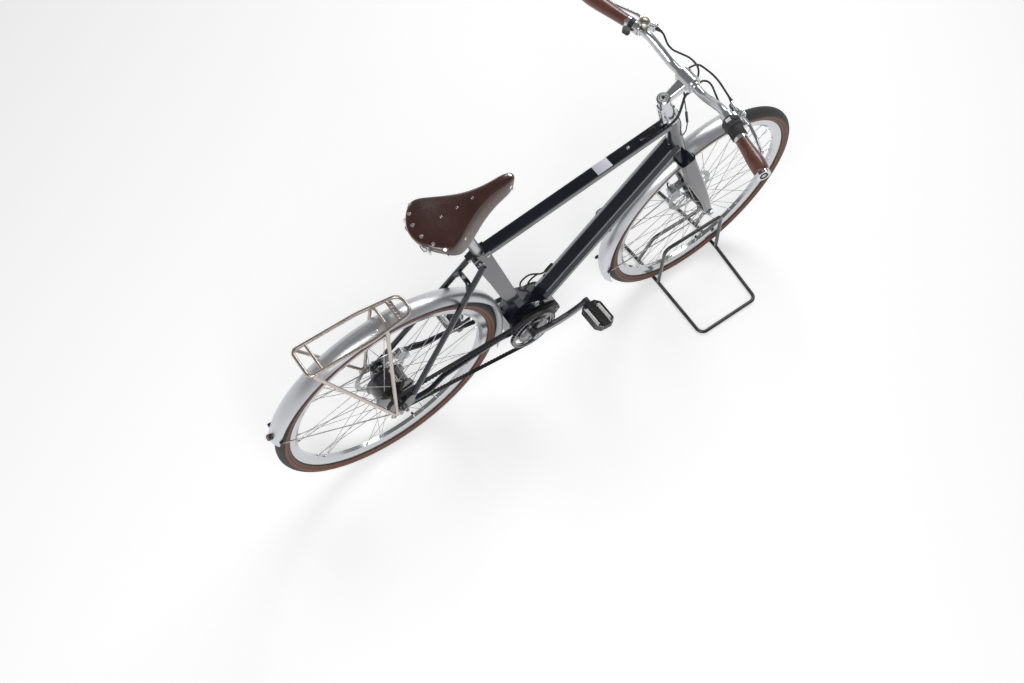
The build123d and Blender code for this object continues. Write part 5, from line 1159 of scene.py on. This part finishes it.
def makeFloor():
    bpy.ops.object.select_all(action="DESELECT")
    bpy.ops.mesh.primitive_plane_add(size=stage["floorSize"], location=(0, 0, 0))
    floor = bpy.context.object
    floor.name = "studio_floor"
    material = bpy.data.materials.new("studio floor")
    material.use_nodes = True
    tree = material.node_tree
    shader = tree.nodes["Principled BSDF"]
    shader.inputs["Roughness"].default_value = 0.75
    shader.inputs["Specular IOR Level"].default_value = 0.1
    cloud = noise(tree, objectPoint(tree), 0.8, 2.0)
    white = stage["floorWhite"]
    colour = ramp(tree, cloud, [(0.3, (white,) * 3), (0.7, (white + 0.01,) * 3)])
    tree.links.new(colour, shader.inputs["Base Color"])
    glow = tree.nodes.new("ShaderNodeEmission")
    glow.inputs["Color"].default_value = (1, 1, 1, 1)
    tree.links.new(mathNode(tree, "MULTIPLY", lightReach(tree), stage["lift"]), glow.inputs["Strength"])
    both = tree.nodes.new("ShaderNodeAddShader")
    tree.links.new(shader.outputs["BSDF"], both.inputs[0])
    tree.links.new(glow.outputs["Emission"], both.inputs[1])
    tree.links.new(both.outputs["Shader"], tree.nodes["Material Output"].inputs["Surface"])
    floor.data.materials.append(material)


def makeWorld():
    world = bpy.data.worlds.new("studio")
    bpy.context.scene.world = world
    world.use_nodes = True
    tree = world.node_tree
    background = tree.nodes["Background"]
    coordinate = tree.nodes.new("ShaderNodeTexCoord")
    split = tree.nodes.new("ShaderNodeSeparateXYZ")
    tree.links.new(coordinate.outputs["Generated"], split.inputs["Vector"])
    sky = ramp(tree, spread(tree, split.outputs["Z"], 0.0, 1.0, -0.2, 1.0),
               [(0.0, (0.9,) * 3), (0.28, (0.85,) * 3), (0.37, (0.5,) * 3), (0.47, (0.2,) * 3),
                (1.0, (0.12,) * 3)])
    path = tree.nodes.new("ShaderNodeLightPath")
    seen = mixColour(tree, path.outputs["Is Camera Ray"], sky, (1.0, 1.0, 1.0))
    tree.links.new(seen, background.inputs["Color"])
    background.inputs["Strength"].default_value = 1.0


def areaLight(name, place, target, size, power):
    light = bpy.data.lights.new(name, "AREA")
    light.shape = "RECTANGLE"
    light.size, light.size_y = size
    light.energy = power
    item = bpy.data.objects.new(name, light)
    bpy.context.scene.collection.objects.link(item)
    direction = Vector(target) - Vector(place)
    item.matrix_world = Matrix.Translation(place) @ direction.to_track_quat("-Z", "Y").to_matrix().to_4x4()


camera = {"place": (-1.111, -1.139, 3.023), "azimuth": -40.68, "elevation": 62.33, "roll": 5.45,
          "lens": 37.83}


def makeCamera():
    data = bpy.data.cameras.new("camera")
    data.sensor_width = 36.0
    data.lens = camera["lens"]
    item = bpy.data.objects.new("camera", data)
    bpy.context.scene.collection.objects.link(item)
    a, e, r = (math.radians(camera[k]) for k in ("azimuth", "elevation", "roll"))
    back = Vector((math.sin(a) * math.cos(e), -math.cos(a) * math.cos(e), math.sin(e)))
    level = Vector((math.cos(a), math.sin(a), 0))
    upright = back.cross(level)
    right = level * math.cos(r) + upright * math.sin(r)
    up = upright * math.cos(r) - level * math.sin(r)
    turn = Matrix((right, up, back)).transposed().to_4x4()
    item.matrix_world = Matrix.Translation(camera["place"]) @ turn
    bpy.context.scene.camera = item


makeFloor()
makeWorld()
areaLight("key", (-1.6, -1.8, 3.6), (0, 0, 0.4), (2.6, 1.6), 75)
areaLight("fill", (2.2, 1.6, 3.2), (0, 0, 0.4), (2.4, 1.2), 50)
makeCamera()
bpy.context.scene.view_settings.view_transform = "Standard"
print("stage, light and camera are in place")
